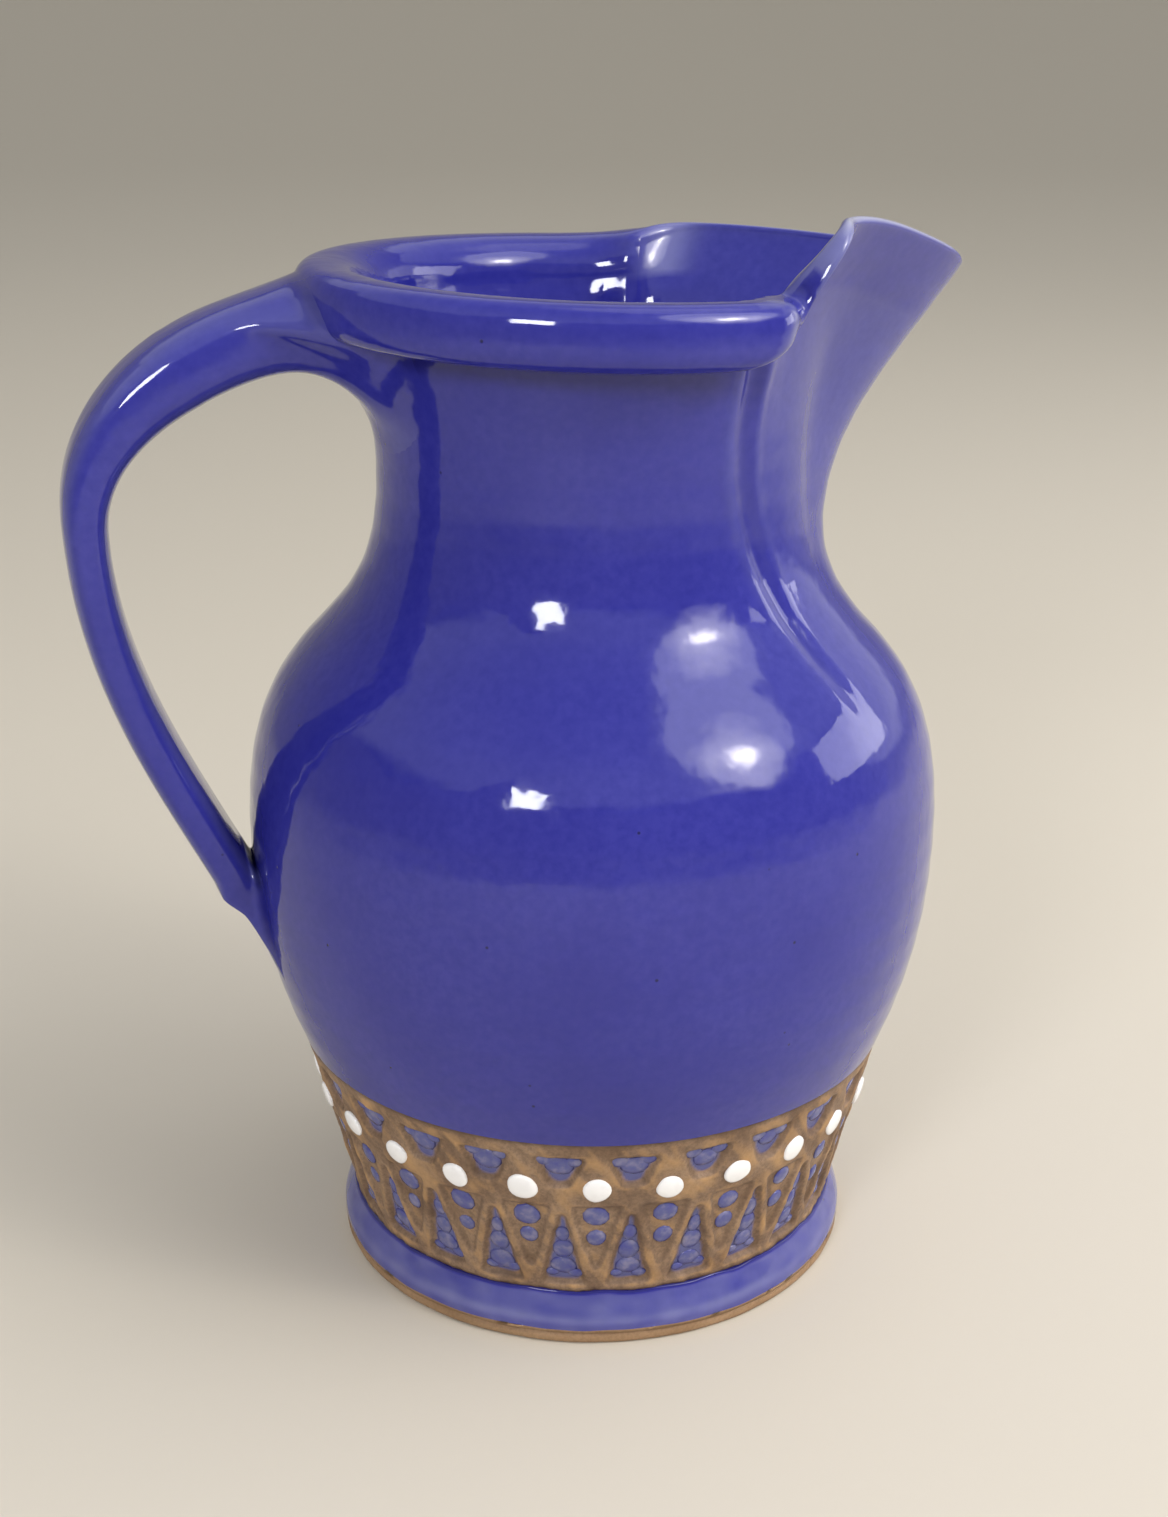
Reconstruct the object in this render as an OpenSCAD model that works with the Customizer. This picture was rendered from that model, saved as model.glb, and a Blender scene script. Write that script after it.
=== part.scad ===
// Glazed stoneware pitcher with a beak spout, a pulled strap handle and a carved band.
// Millimetres, +Z up. The foot stands on z = 0 with the axis of the pot at the origin.
// The spout points along +X and the handle along -X.

/* [Foot] */
// Diameter of the foot
foot_d = 136; // [124:1:150]
// Height of the bare clay edge that the pot stands on
edge_h = 3.4; // [2.4:0.2:6]
// Rounding of the bare edge where it meets the table
edge_round = 1.4; // [0.4:0.2:2]
// Height of the glazed foot ring above the bare edge
foot_h = 10; // [7:0.5:14]
// Thickness of the foot ring, measured level
foot_wall = 9; // [7:0.5:12]
// Thickness of the base slab
base_t = 8; // [7:0.5:12]

/* [Band] */
// Diameter of the wall at the lower edge of the carved band
band_low_d = 130; // [120:1:134]
// Diameter of the wall at the upper edge of the carved band
band_top_d = 154.6; // [146:1:160]
// Height of the carved band
band_h = 48.6; // [44:0.5:54]
// Depth of the carving
carve_depth = 1.6; // [0.8:0.1:2.4]
// Number of repeats of the pattern
repeats = 26; // [22:1:28]

/* [Belly] */
// Diameter of the belly at its widest
belly_d = 175.5; // [166:1:190]
// Height of the widest place above the table
belly_z = 117; // [106:1:124]
// Thickness of the thrown wall, measured level
wall = 6; // [4.5:0.5:8]

/* [Neck and rim] */
// Diameter of the neck at its narrowest
neck_d = 105.8; // [96:1:116]
// Height of the narrowest place above the table
neck_z = 207; // [200:1:214]
// Outer diameter of the neck wall at the mouth
mouth_d = 119; // [114:1:124]
// Height of the rim above the table
rim_z = 255; // [250:1:266]
// Outer diameter of the rolled rim
roll_d = 141; // [134:1:148]
// Height of the rolled rim
roll_h = 14.5; // [12:0.5:17]
// Rounding of the lower corners at the ends of the roll
roll_end_round = 9; // [4:0.5:11]

/* [Spout] */
// Distance from the axis to the tip of the spout
spout_reach = 95; // [88:1:104]
// How far the tip lies below the rim
tip_drop = 3; // [0:0.5:6]
// Smallest distance from the axis to the keel under the spout
keel_r = 58.8; // [56.4:0.2:63]
// Height of that place above the table
keel_z = 190; // [184:1:196]
// Half of the angle that the spout takes out of the neck
spout_angle = 63; // [56:1:68]
// How far the lip rises above the rim at the right hand of the pourer
front_ear_rise = 13.4; // [0:0.2:16]
// How far the lip rises above the rim on the other side
back_ear_rise = 3; // [0:0.2:16]
// Thickness of the lip, measured level
lip_t = 3.4; // [2.4:0.2:5]

/* [Handle] */
// Distance from the axis to the middle of the strap at its farthest
handle_reach = 121.5; // [114:0.5:132]
// Height of that place above the table
handle_reach_z = 199; // [190:1:206]
// Height of the middle of the upper end
handle_top_z = 244; // [240:0.5:246]
// Height of the middle of the lower end
handle_low_z = 97; // [92:1:104]
// Width of the strap
strap_w = 27; // [22:0.5:32]
// Thickness of the strap
strap_t = 10.5; // [8:0.5:13]
// Width of the strap at its thick upper end
strap_root_w = 31; // [28:0.5:36]
// Thickness of the strap at its upper end
strap_root_t = 18; // [14:0.5:20]
// Width of the clay spread on the neck at the upper end
upper_root_w = 54; // [44:1:60]
// Height of the foot of the upper root above the table
upper_root_low_z = 207; // [200:1:214]
// Width of the clay spread on the belly at the lower end
lower_root_w = 31; // [28:1:38]
// Height of the upper edge of the lower root above the table
lower_root_top_z = 117; // [113:1:122]
// Height of the end of the wiped tail above the table
tail_z = 78; // [72:1:86]

/* [Decoration] */
// Diameter of the white slip dots
dot_d = 7; // [5:0.2:8]
// Height of a dot over its seat
dot_h = 1.4; // [0.8:0.1:2]
// Depth of the seat of a dot
dot_seat = 0.5; // [0.3:0.1:0.8]
// Height of the row of dots above the table
dot_z = 47.5; // [46:0.5:50]
// Thickness of the glaze drops in the carving
drop_t = 1; // [0.5:0.1:1.4]

/* [Hidden] */
$fn = 96;

glaze_colour = "#423ca0";
clay_colour = "#8a6b57";
slip_colour = "#f6f6f4";
drop_colour = "#5d5b86";

// Clearance where clay is pressed on a wall, and the overrun of cuts
seat_gap = 0.15;
overrun = 1;

// Radii and heights that the pieces share
foot_r = foot_d / 2;
band_low_r = band_low_d / 2;
band_top_r = band_top_d / 2;
belly_r = belly_d / 2;
neck_r = neck_d / 2;
mouth_r = mouth_d / 2;
base_r = foot_r - foot_wall;
band_in_r = band_low_r - wall;
band_z = edge_h + foot_h;
band_end_z = band_z + band_h;

// Shares of the curves: the pull of each Bezier end towards the next
foot_curve_shares = [0.35, 0.8];
belly_low_pull_shares = [0.64, 0.3, 0.4];
shoulder_pull_shares = [0.645, 0.535];
mouth_pull_share = 0.45;
keel_start_share = 0.5;
keel_pull_shares = [0.3, 0.42, 0.32, 0.42, 0.56];
joint_share = 0.27;

// Number of steps along each curve
foot_steps = 5;
low_steps = 12;
joint_steps = 6;
shoulder_steps = 14;
mouth_steps = 8;
roll_steps = 12;

// Curves

function mix(a, b, share) = a + (b - a) * share;
function clamp01(x) = max(0, min(1, x));
function ease(x) = let (c = clamp01(x)) c * c * (3 - 2 * c);
function bezier(p, t) =
    let (a = mix(p[0], p[1], t), b = mix(p[1], p[2], t), c = mix(p[2], p[3], t))
    mix(mix(a, b, t), mix(b, c, t), t);
function curve(p, steps, from = 0, to = 1) =
    [for (i = [0 : steps]) bezier(p, mix(from, to, i / steps))];
function slope_of(p, t) = 3 * (
    (p[1] - p[0]) * pow(1 - t, 2) + 2 * (p[2] - p[1]) * t * (1 - t) + (p[3] - p[2]) * t * t);
function tail_of(list) = [for (i = [1 : len(list) - 1]) list[i]];
function reversed(list) = [for (i = [len(list) - 1 : -1 : 0]) list[i]];
function inward(line, depth) = [for (p = line) [p[0] - depth, p[1]]];
function power(x, n) = sign(x) * pow(abs(x), n);

// Outer line of the wall, from the foot to the mouth, as radius and height
foot_line = curve([
    [foot_r, edge_h],
    [foot_r, mix(edge_h, band_z, foot_curve_shares[0])],
    [band_low_r, mix(edge_h, band_z, foot_curve_shares[1])],
    [band_low_r, band_z]
], foot_steps);
belly_low = [
    [band_top_r, band_end_z],
    [
        mix(band_top_r, belly_r, belly_low_pull_shares[0]),
        mix(band_end_z, belly_z, belly_low_pull_shares[1])
    ],
    [belly_r, mix(belly_z, band_end_z, belly_low_pull_shares[2])],
    [belly_r, belly_z]
];
shoulder = [
    [belly_r, belly_z],
    [belly_r, mix(belly_z, neck_z, shoulder_pull_shares[0])],
    [neck_r, mix(neck_z, belly_z, shoulder_pull_shares[1])],
    [neck_r, neck_z]
];
mouth = [
    [neck_r, neck_z],
    [neck_r, mix(neck_z, rim_z, mouth_pull_share)],
    [mix(mouth_r, neck_r, mouth_pull_share), mix(rim_z, neck_z, mouth_pull_share)],
    [mouth_r, rim_z]
];
belly_line = concat(
    curve(belly_low, low_steps),
    tail_of(curve(shoulder, joint_steps, 0, joint_share)));
neck_line = concat(
    curve(shoulder, shoulder_steps, joint_share, 1),
    tail_of(curve(mouth, mouth_steps)));
joint_z = belly_line[len(belly_line) - 1][1];

function by_height(line) = [for (p = line) [p[1], p[0]]];
wall_table = by_height(concat(belly_line, tail_of(neck_line)));
function wall_r(z) = lookup(z, wall_table);

// Rolled rim: a fat roll that hangs over the neck and seats on its top edge
roll_r = roll_d / 2;
roll_low_z = rim_z - roll_h;
roll_mid_z = rim_z - roll_h / 2;
seat_share = 0.28;
seat_z = mix(roll_low_z, rim_z, seat_share);
roll_seat_r = wall_r(seat_z);
roll_in_r = roll_seat_r - wall;
roll_mid_r = (roll_seat_r + roll_r) / 2;
roll_power = 0.86;
roll_outside = [for (i = [0 : roll_steps]) let (a = -90 + 180 * i / roll_steps) [
    roll_mid_r + (roll_r - roll_mid_r) * power(cos(a), roll_power),
    roll_mid_z + roll_h / 2 * power(sin(a), roll_power)
]];
roll_inside = [for (i = [1 : roll_steps]) let (a = 90 * i / roll_steps) [
    roll_mid_r - (roll_mid_r - roll_in_r) * power(sin(a), roll_power),
    mix(roll_mid_z, rim_z, power(cos(a), roll_power))
]];
roll_section = concat(roll_outside, roll_inside, [[roll_in_r, seat_z], [roll_seat_r + seat_gap, seat_z]]);

// The roll stops at the seams of the spout
roll_end_angle = spout_angle + asin(seat_gap / neck_r);

// Solids from grids of points

function grid_loop(rows, cols) = concat(
    [for (c = [0 : cols - 1]) c],
    [for (r = [1 : rows - 1]) r * cols + cols - 1],
    [for (c = [cols - 2 : -1 : 0]) (rows - 1) * cols + c],
    [for (r = [rows - 2 : -1 : 1]) r * cols]);
function flipped(faces, flip) = flip ? [for (f = faces) reversed(f)] : faces;
function grid_faces(rows, cols, first, flip) = flipped([
    for (r = [0 : rows - 2], c = [0 : cols - 2]) let (i = first + r * cols + c)
        each [[i, i + cols, i + cols + 1], [i, i + cols + 1, i + 1]]
], flip);
function strip_faces(a, b) = [
    for (i = [0 : len(a) - 1]) let (k = (i + 1) % len(a))
        each [[a[i], a[k], b[k]], [a[i], b[k], b[i]]]
];
function numbers(first, count) = [for (i = [0 : count - 1]) first + i];

// A sheet with an outer and an inner face on grids of one size
module sheet(outer, inner, rows, cols) {
    count = rows * cols;
    edge = grid_loop(rows, cols);
    polyhedron(
        points = concat(outer, inner),
        faces = concat(
            grid_faces(rows, cols, 0, false),
            grid_faces(rows, cols, count, true),
            strip_faces(edge, [for (i = edge) i + count])));
}

// A bar through closed rings of points, flat at both ends
module bar(rings) {
    sides = len(rings[0]);
    last = len(rings) - 1;
    polyhedron(
        points = [for (ring = rings) each ring],
        faces = concat(
            [reversed(numbers(0, sides))],
            [for (k = [0 : last - 1])
                each strip_faces(numbers(k * sides, sides), numbers((k + 1) * sides, sides))],
            [numbers(last * sides, sides)]));
}

// A flare from a grid pressed on a wall through rings to a flat end
module flare(seat, rows, cols, rings) {
    seat_count = rows * cols;
    sides = len(rings[0]);
    last = len(rings) - 1;
    polyhedron(
        points = concat(seat, [for (ring = rings) each ring]),
        faces = concat(
            grid_faces(rows, cols, 0, false),
            strip_faces(grid_loop(rows, cols), numbers(seat_count, sides)),
            [for (k = [0 : last - 1]) each strip_faces(
                numbers(seat_count + k * sides, sides),
                numbers(seat_count + (k + 1) * sides, sides))],
            [numbers(seat_count + last * sides, sides)]));
}

// Thrown pieces

module ring_of(line) {
    rotate_extrude() polygon(concat(line, reversed(inward(line, wall))));
}

module base() {
    round_steps = 6;
    corner = [for (i = [0 : round_steps]) let (a = -90 + 90 * i / round_steps) [
        foot_r - edge_round + edge_round * cos(a),
        edge_round + edge_round * sin(a)
    ]];
    color(clay_colour) rotate_extrude() polygon(concat(
        [[0, 0]], corner,
        [[foot_r, edge_h], [base_r, edge_h], [base_r, base_t], [0, base_t]]));
}

module foot_ring() {
    color(glaze_colour) rotate_extrude()
        polygon(concat(foot_line, [[band_in_r, band_z], [base_r, base_t], [base_r, edge_h]]));
}

module belly() {
    color(glaze_colour) ring_of(belly_line);
}

// The neck without the sector that the spout takes
neck_wall_line = concat(
    [for (p = neck_line) if (p[1] < seat_z) p],
    [[roll_seat_r, seat_z]]);
module neck() {
    color(glaze_colour) rotate([0, 0, spout_angle])
        rotate_extrude(angle = 360 - 2 * spout_angle)
            polygon(concat(neck_wall_line, reversed(inward(neck_wall_line, wall))));
}

// Corner that is rounded off the lower end of the roll, swept along the radius
module roll_corner() {
    rotate([0, 0, roll_end_angle]) translate([roll_seat_r, 0, roll_low_z]) rotate([90, 0, 90])
        linear_extrude(roll_r) difference() {
            translate([-overrun, -overrun]) square(roll_end_round + overrun);
            translate([roll_end_round, roll_end_round]) circle(roll_end_round);
        }
}

module rim_roll() {
    color(glaze_colour) difference() {
        rotate([0, 0, roll_end_angle])
            rotate_extrude(angle = 360 - 2 * roll_end_angle) polygon(roll_section);
        roll_corner();
        mirror([0, 1, 0]) roll_corner();
    }
}

// Spout: the wall of the neck drawn out to a beak between its two seams
tip = [spout_reach, rim_z - tip_drop];
keel_start = bezier(shoulder, keel_start_share);
keel_line = concat(
    curve([
        keel_start,
        keel_start + slope_of(shoulder, keel_start_share) * keel_pull_shares[0] / 3,
        [keel_r, mix(keel_z, keel_start[1], keel_pull_shares[1])],
        [keel_r, keel_z]
    ], shoulder_steps),
    tail_of(curve([
        [keel_r, keel_z],
        [keel_r, mix(keel_z, tip[1], keel_pull_shares[2])],
        [mix(keel_r, tip[0], keel_pull_shares[3]), mix(keel_z, tip[1], keel_pull_shares[4])],
        tip
    ], shoulder_steps)));
keel_table = by_height(keel_line);
function keel_at(z) = z < keel_start[1] ? wall_r(z) : lookup(z, keel_table);

// Plan of the beak: low down a soft ridge, at the rim a straight-sided V
ridge_share = 0.5;
ridge_blunt = 5;
v_half_angle = 45;
v_from_share = 0.1;
v_fade_share = 0.8;
function blunt(a) = sqrt(a * a + ridge_blunt * ridge_blunt) - ridge_blunt;
function ridge_plan(a) = pow(cos(90 * min(1, abs(a) / (spout_angle * ridge_share))), 2);
function v_plan(a, keel, r) =
    let (side = keel * sin(v_half_angle) / sin(v_half_angle + blunt(a)))
    max(0, side - r) / (keel - r) * (1 - ease((abs(a) / spout_angle - v_fade_share) / (1 - v_fade_share)));
function v_weight(z) =
    let (from = mix(keel_z, rim_z, v_from_share), to = mix(rim_z, keel_z, v_from_share))
    ease((z - from) / (to - from));
// Height of the lip: it climbs from the tip to an ear and drops to the roll
ear_share = 0.725;
ear_power = 0.8;
ear_fall_share = 0.45;
function ear_rise(a) = a < 0 ? front_ear_rise : back_ear_rise;
function lip_z(a) =
    let (share = abs(a) / spout_angle, top = ear_rise(a))
    share < ear_share
        ? tip[1] + (rim_z + top - tip[1]) * pow(sin(90 * share / ear_share), ear_power)
        : rim_z + top * (1 - ear_fall_share * pow((share - ear_share) / (1 - ear_share), 2));

// Distance from the axis: towards the lip the walls rise with the ears
function spout_r(a, z) =
    let (v = v_weight(z), r = wall_r(z), keel = keel_at(z - (lip_z(a) - tip[1]) * v))
    keel <= r ? r : r + (keel - r) * mix(ridge_plan(a), v_plan(a, keel, r), v);

spout_cols = 41;
spout_rows = 26;
lip_from_share = 0.8;
module spout() {
    edge_angle = spout_angle - asin(seat_gap / neck_r);
    function angle_at(c) = mix(-edge_angle, edge_angle, c / (spout_cols - 1));
    function height_at(r, a) = mix(joint_z, lip_z(a), r / (spout_rows - 1));
    function thick_at(r) =
        let (share = (r / (spout_rows - 1) - lip_from_share) / (1 - lip_from_share))
        mix(wall, lip_t, ease(share));
    function face(depth_share) = [
        for (r = [0 : spout_rows - 1], c = [0 : spout_cols - 1])
            let (a = angle_at(c), z = height_at(r, a), d = spout_r(a, z) - thick_at(r) * depth_share)
            [d * cos(a), d * sin(a), z]
    ];
    color(glaze_colour) sheet(face(0), face(1), spout_rows, spout_cols);
}

// Handle: a strap along two curves in the plane y = 0

handle_start_r = wall_r(handle_top_z);
handle_end_r = wall_r(handle_low_z);
handle_pull_shares = [0.5, 0.6, 0.38, 0.46, 0.34];
handle_upper = [
    [-handle_start_r, handle_top_z],
    [mix(-handle_start_r, -handle_reach, handle_pull_shares[0]), handle_top_z],
    [-handle_reach, mix(handle_reach_z, handle_top_z, handle_pull_shares[1])],
    [-handle_reach, handle_reach_z]
];
handle_lower = [
    [-handle_reach, handle_reach_z],
    [-handle_reach, mix(handle_reach_z, handle_low_z, handle_pull_shares[2])],
    [
        mix(-handle_end_r, -handle_reach, handle_pull_shares[3]),
        mix(handle_low_z, handle_reach_z, handle_pull_shares[4])
    ],
    [-handle_end_r, handle_low_z]
];
upper_root_share = 0.34;
lower_root_share = 0.85;
taper_share = 0.75;
section_power = 0.8;
handle_steps = 16;
handle_sides = 28;

// One ring of the strap: curve p at t, with the given width and thickness, at the listed angles
function strap_ring(p, t, w, th, angles) =
    let (c = bezier(p, t), d = slope_of(p, t), n = [d[1], -d[0]] / norm(d))
    [for (a = angles) let (out = th / 2 * power(sin(a), section_power)) [
        c[0] + n[0] * out,
        w / 2 * power(cos(a), section_power),
        c[1] + n[1] * out
    ]];
function root_taper(t) = ease((t - upper_root_share) / taper_share);
function strap_w_at(t) = mix(strap_root_w, strap_w, root_taper(t));
function strap_t_at(t) = mix(strap_root_t, strap_t, root_taper(t));

module handle() {
    angles = [for (i = [0 : handle_sides - 1]) 360 * i / handle_sides];
    upper = [for (i = [0 : handle_steps]) let (t = mix(upper_root_share, 1, i / handle_steps))
        strap_ring(handle_upper, t, strap_w_at(t), strap_t_at(t), angles)];
    lower = [for (i = [1 : handle_steps]) let (t = mix(0, lower_root_share, i / handle_steps))
        strap_ring(handle_lower, t, strap_w, strap_t, angles)];
    color(glaze_colour) bar(concat(upper, lower));
}

// Clay spread on a wall line, from its lowest to its highest point, with its half widths
root_cols = 13;
root_steps = 7;
function across(c) = 2 * c / (root_cols - 1) - 1;
function seat_grid(line, halves) = [
    for (k = [0 : len(line) - 1], c = [0 : root_cols - 1])
        let (y = halves[k] * across(c), r = line[k][0] + seat_gap)
        [-sqrt(r * r - y * y), y, line[k][1]]
];
function seat_angles(rows) = [
    for (i = grid_loop(rows, root_cols))
        atan2(2 * floor(i / root_cols) / (rows - 1) - 1, across(i % root_cols))
];
// Rings that leave the wall line and turn into the strap, hollow where the two powers differ.
// They fill the notch under the roll with a chamfer of 45 degrees.
function filled_r(line, z) = max(lookup(z, by_height(line)), max([for (p = line) p[0] - abs(z - p[1])]));
function wall_x(line, y, z) = -sqrt(pow(filled_r(line, z) + seat_gap, 2) - y * y);
function flare_rings(line, loop, ring, low_powers, top_powers) = [
    for (k = [1 : root_steps]) let (s = k / root_steps)
        [for (i = [0 : len(loop) - 1])
            let (
                share = (loop[i][2] - line[0][1]) / (line[len(line) - 1][1] - line[0][1]),
                powers = mix(low_powers, top_powers, share),
                y = mix(loop[i][1], ring[i][1], pow(s, powers[1])),
                z = mix(loop[i][2], ring[i][2], pow(s, powers[1]))
            )
            [mix(wall_x(line, y, z), ring[i][0], pow(s, powers[0])), y, z]]
];
neck_powers = [2.1, 0.55];
roll_powers = [1.2, 0.75];
belly_powers = [1.2, 0.9];
function picked(list, indices) = [for (i = indices) list[i]];

function between(line, low, high) = [for (p = line) if (p[1] > low && p[1] < high) p];

// The upper root is widest under the roll, and the lower root well above its tail
upper_end_share = 0.45;
widest_power = 0.6;
tail_share = 0.25;
tail_sweep = 150;

module handle_upper_root() {
    neck_clear_z = mix(roll_low_z, neck_z, seat_gap / roll_h);
    line = concat(
        [[wall_r(upper_root_low_z), upper_root_low_z]],
        between(neck_line, upper_root_low_z, neck_clear_z),
        [for (i = [0 : roll_steps - 2]) roll_outside[i]]);
    rows = len(line);
    halves = [for (k = [0 : rows - 1])
        upper_root_w / 2 * mix(upper_end_share, 1, sin(180 * pow(k / (rows - 1), widest_power)))];
    seat = seat_grid(line, halves);
    loop = picked(seat, grid_loop(rows, root_cols));
    ring = strap_ring(handle_upper, upper_root_share, strap_root_w, strap_root_t, seat_angles(rows));
    rings = flare_rings(line, loop, ring, neck_powers, roll_powers);
    color(glaze_colour) flare(seat, rows, root_cols, rings);
}

module handle_lower_root() {
    line = concat(
        [[wall_r(tail_z), tail_z]],
        between(belly_line, tail_z, lower_root_top_z),
        [[wall_r(lower_root_top_z), lower_root_top_z]]);
    rows = len(line);
    halves = [for (k = [0 : rows - 1])
        lower_root_w / 2 * mix(tail_share, 1, sin(tail_sweep * k / (rows - 1)))];
    seat = seat_grid(line, halves);
    loop = picked(seat, grid_loop(rows, root_cols));
    angles = [for (a = seat_angles(rows)) -a];
    ring = strap_ring(handle_lower, lower_root_share, strap_w, strap_t, angles);
    rings = flare_rings(line, loop, ring, belly_powers, belly_powers);
    color(glaze_colour) flare(seat, rows, root_cols, rings);
}

// Carved band and what is set in it

band_lean = atan2(band_top_r - band_low_r, band_h);
pitch = 360 / repeats;
function band_r(z) = mix(band_low_r, band_top_r, (z - band_z) / band_h);

// Places its children on the wall of the band: X along the wall, Y up it and Z out of it
module on_band(angle, z) {
    rotate([0, 0, angle]) translate([band_r(z), 0, z])
        rotate([0, band_lean, 0]) rotate([90, 0, 90]) children();
}
module round_the_band(turn_share, z) {
    for (k = [0 : repeats - 1]) on_band((k + turn_share) * pitch, z) children();
}

// Recesses as shares of the repeat's width and of the band's height
upper_recess_shares = [0.905, 0.72, 0.66, 0.16];
hanging_recess_shares = [0.585, 0.165, 0.62, 0.1];
standing_recess_shares = [0.05, 0.52, 0.62, 0.1];
function repeat_w(z) = 2 * PI * band_r(z) / repeats;
function share_z(share) = mix(band_z, band_end_z, share);

// A recess runs from one share of the height to another, wide at the first and narrow at the second
module recess(shares, turn_share) {
    wide_z = share_z(shares[0]);
    narrow_z = share_z(shares[1]);
    wide = repeat_w(wide_z) * shares[2] / 2;
    narrow = repeat_w(narrow_z) * shares[3] / 2;
    rise = (wide_z - narrow_z) / cos(band_lean) / 2;
    round_the_band(turn_share, (wide_z + narrow_z) / 2) translate([0, 0, -carve_depth])
        linear_extrude(carve_depth + overrun)
            polygon([[-wide, rise], [-narrow, -rise], [narrow, -rise], [wide, rise]]);
}

module carved_band() {
    color(clay_colour) difference() {
        rotate_extrude() polygon([
            [band_in_r, band_z], [band_low_r, band_z],
            [band_top_r, band_end_z], [band_top_r - wall, band_end_z]
        ]);
        recess(upper_recess_shares, 0);
        recess(hanging_recess_shares, 0.5);
        recess(standing_recess_shares, 0);
        round_the_band(0.5, dot_z) translate([0, 0, -dot_seat])
            cylinder(d = dot_d + 2 * seat_gap, h = dot_seat + overrun);
    }
}

module slip_dots() {
    dome_steps = 6;
    rim_share = 0.6;
    dome = [for (i = [0 : dome_steps]) let (a = 90 * i / dome_steps) [
        dot_d / 2 * cos(a), dot_h * mix(rim_share, 1, sin(a))
    ]];
    color(slip_colour) round_the_band(0.5, dot_z) translate([0, 0, -dot_seat])
        rotate_extrude() polygon(concat([[0, 0], [dot_d / 2, 0]], dome));
}

// Glaze drops on the floor of a recess: height share, place share across it and size share
module drops(shares, turn_share, list) {
    for (drop = list) {
        wide_z = share_z(shares[0]);
        narrow_z = share_z(shares[1]);
        z = mix(wide_z, narrow_z, drop[0]);
        wide = mix(repeat_w(wide_z) * shares[2], repeat_w(narrow_z) * shares[3], drop[0]);
        size = wide * drop[2];
        color(drop_colour) round_the_band(turn_share, z)
            translate([wide * drop[1], 0, -carve_depth]) cylinder(d = size, h = drop_t);
    }
}
upper_drop_shares = [[0.4, 0, 0.62], [0.16, -0.36, 0.2], [0.16, 0.36, 0.2]];
hanging_drop_shares = [[0.24, 0, 0.5], [0.6, 0, 0.62]];
standing_drop_shares = [[0.2, 0, 0.55], [0.5, 0, 0.6], [0.72, 0, 0.66]];

module upper_drops() {
    drops(upper_recess_shares, 0, upper_drop_shares);
}
module hanging_drops() {
    drops(hanging_recess_shares, 0.5, hanging_drop_shares);
}
module standing_drops() {
    drops(standing_recess_shares, 0, standing_drop_shares);
}

base();
foot_ring();
carved_band();
belly();
neck();
rim_roll();
spout();
handle();
handle_upper_root();
handle_lower_root();
slip_dots();
upper_drops();
hanging_drops();
standing_drops();
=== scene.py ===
import math

import bmesh
import bpy
import numpy as np
from bpy.props import FloatProperty, FloatVectorProperty, IntProperty, PointerProperty
from bpy.types import Operator, Panel, PropertyGroup
from mathutils import Matrix, Vector, noise


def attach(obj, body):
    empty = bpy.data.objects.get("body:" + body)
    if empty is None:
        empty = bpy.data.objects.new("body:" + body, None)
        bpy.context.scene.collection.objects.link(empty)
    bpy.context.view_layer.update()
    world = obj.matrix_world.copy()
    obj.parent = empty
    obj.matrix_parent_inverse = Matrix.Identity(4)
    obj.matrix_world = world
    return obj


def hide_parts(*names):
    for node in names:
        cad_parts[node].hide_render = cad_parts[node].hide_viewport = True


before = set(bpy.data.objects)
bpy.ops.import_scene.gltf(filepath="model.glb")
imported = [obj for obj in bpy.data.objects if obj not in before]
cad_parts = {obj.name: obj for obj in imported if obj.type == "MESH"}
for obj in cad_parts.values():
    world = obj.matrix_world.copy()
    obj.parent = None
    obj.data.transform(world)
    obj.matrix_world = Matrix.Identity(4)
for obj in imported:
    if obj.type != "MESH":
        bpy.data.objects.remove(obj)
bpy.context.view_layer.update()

bl_info = {
    "name": "Glazed pitcher",
    "version": (1, 0, 0),
    "blender": (4, 5, 0),
    "location": "View3D > Sidebar > Pitcher",
    "description": "Stoneware pitcher with a beak spout, a strap handle and a carved band",
    "category": "Add Mesh",
}

MM = 0.001


def linear(hex_colour):
    """Linear RGBA of an sRGB hex colour."""
    parts = [int(hex_colour[i:i + 2], 16) / 255 for i in (1, 3, 5)]
    return tuple(c / 12.92 if c <= 0.04045 else ((c + 0.055) / 1.055) ** 2.4 for c in parts) + (1.0,)


def length(name, description, millimetres):
    return FloatProperty(name=name, description=description, default=millimetres * MM, unit="LENGTH")


def colour(name, description, hex_colour):
    return FloatVectorProperty(
        name=name, description=description, default=linear(hex_colour), subtype="COLOR", size=4, min=0, max=1)


class PitcherWall(PropertyGroup):
    """Sizes of the thrown wall."""
    foot_d: length("Foot", "Diameter of the foot", 136)
    edge_h: length("Bare edge", "Height of the bare clay edge", 3.4)
    foot_h: length("Foot ring", "Height of the glazed foot ring", 10)
    base_t: length("Base", "Thickness of the base slab", 8)
    band_low_d: length("Band, lower", "Diameter at the lower edge of the band", 130)
    band_top_d: length("Band, upper", "Diameter at the upper edge of the band", 154.6)
    band_h: length("Band height", "Height of the carved band", 48.6)
    belly_d: length("Belly", "Diameter of the belly at its widest", 175.5)
    belly_z: length("Belly height", "Height of the widest place", 117)
    neck_d: length("Neck", "Diameter of the neck at its narrowest", 105.8)
    neck_z: length("Neck height", "Height of the narrowest place", 207)
    mouth_d: length("Mouth", "Outer diameter of the neck wall at the mouth", 119)
    rim_z: length("Rim", "Height of the rim", 255)
    wall: length("Wall", "Thickness of the wall, measured level", 6)
    roll_d: length("Roll", "Outer diameter of the rolled rim", 141)
    roll_h: length("Roll height", "Height of the rolled rim", 14.5)


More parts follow.
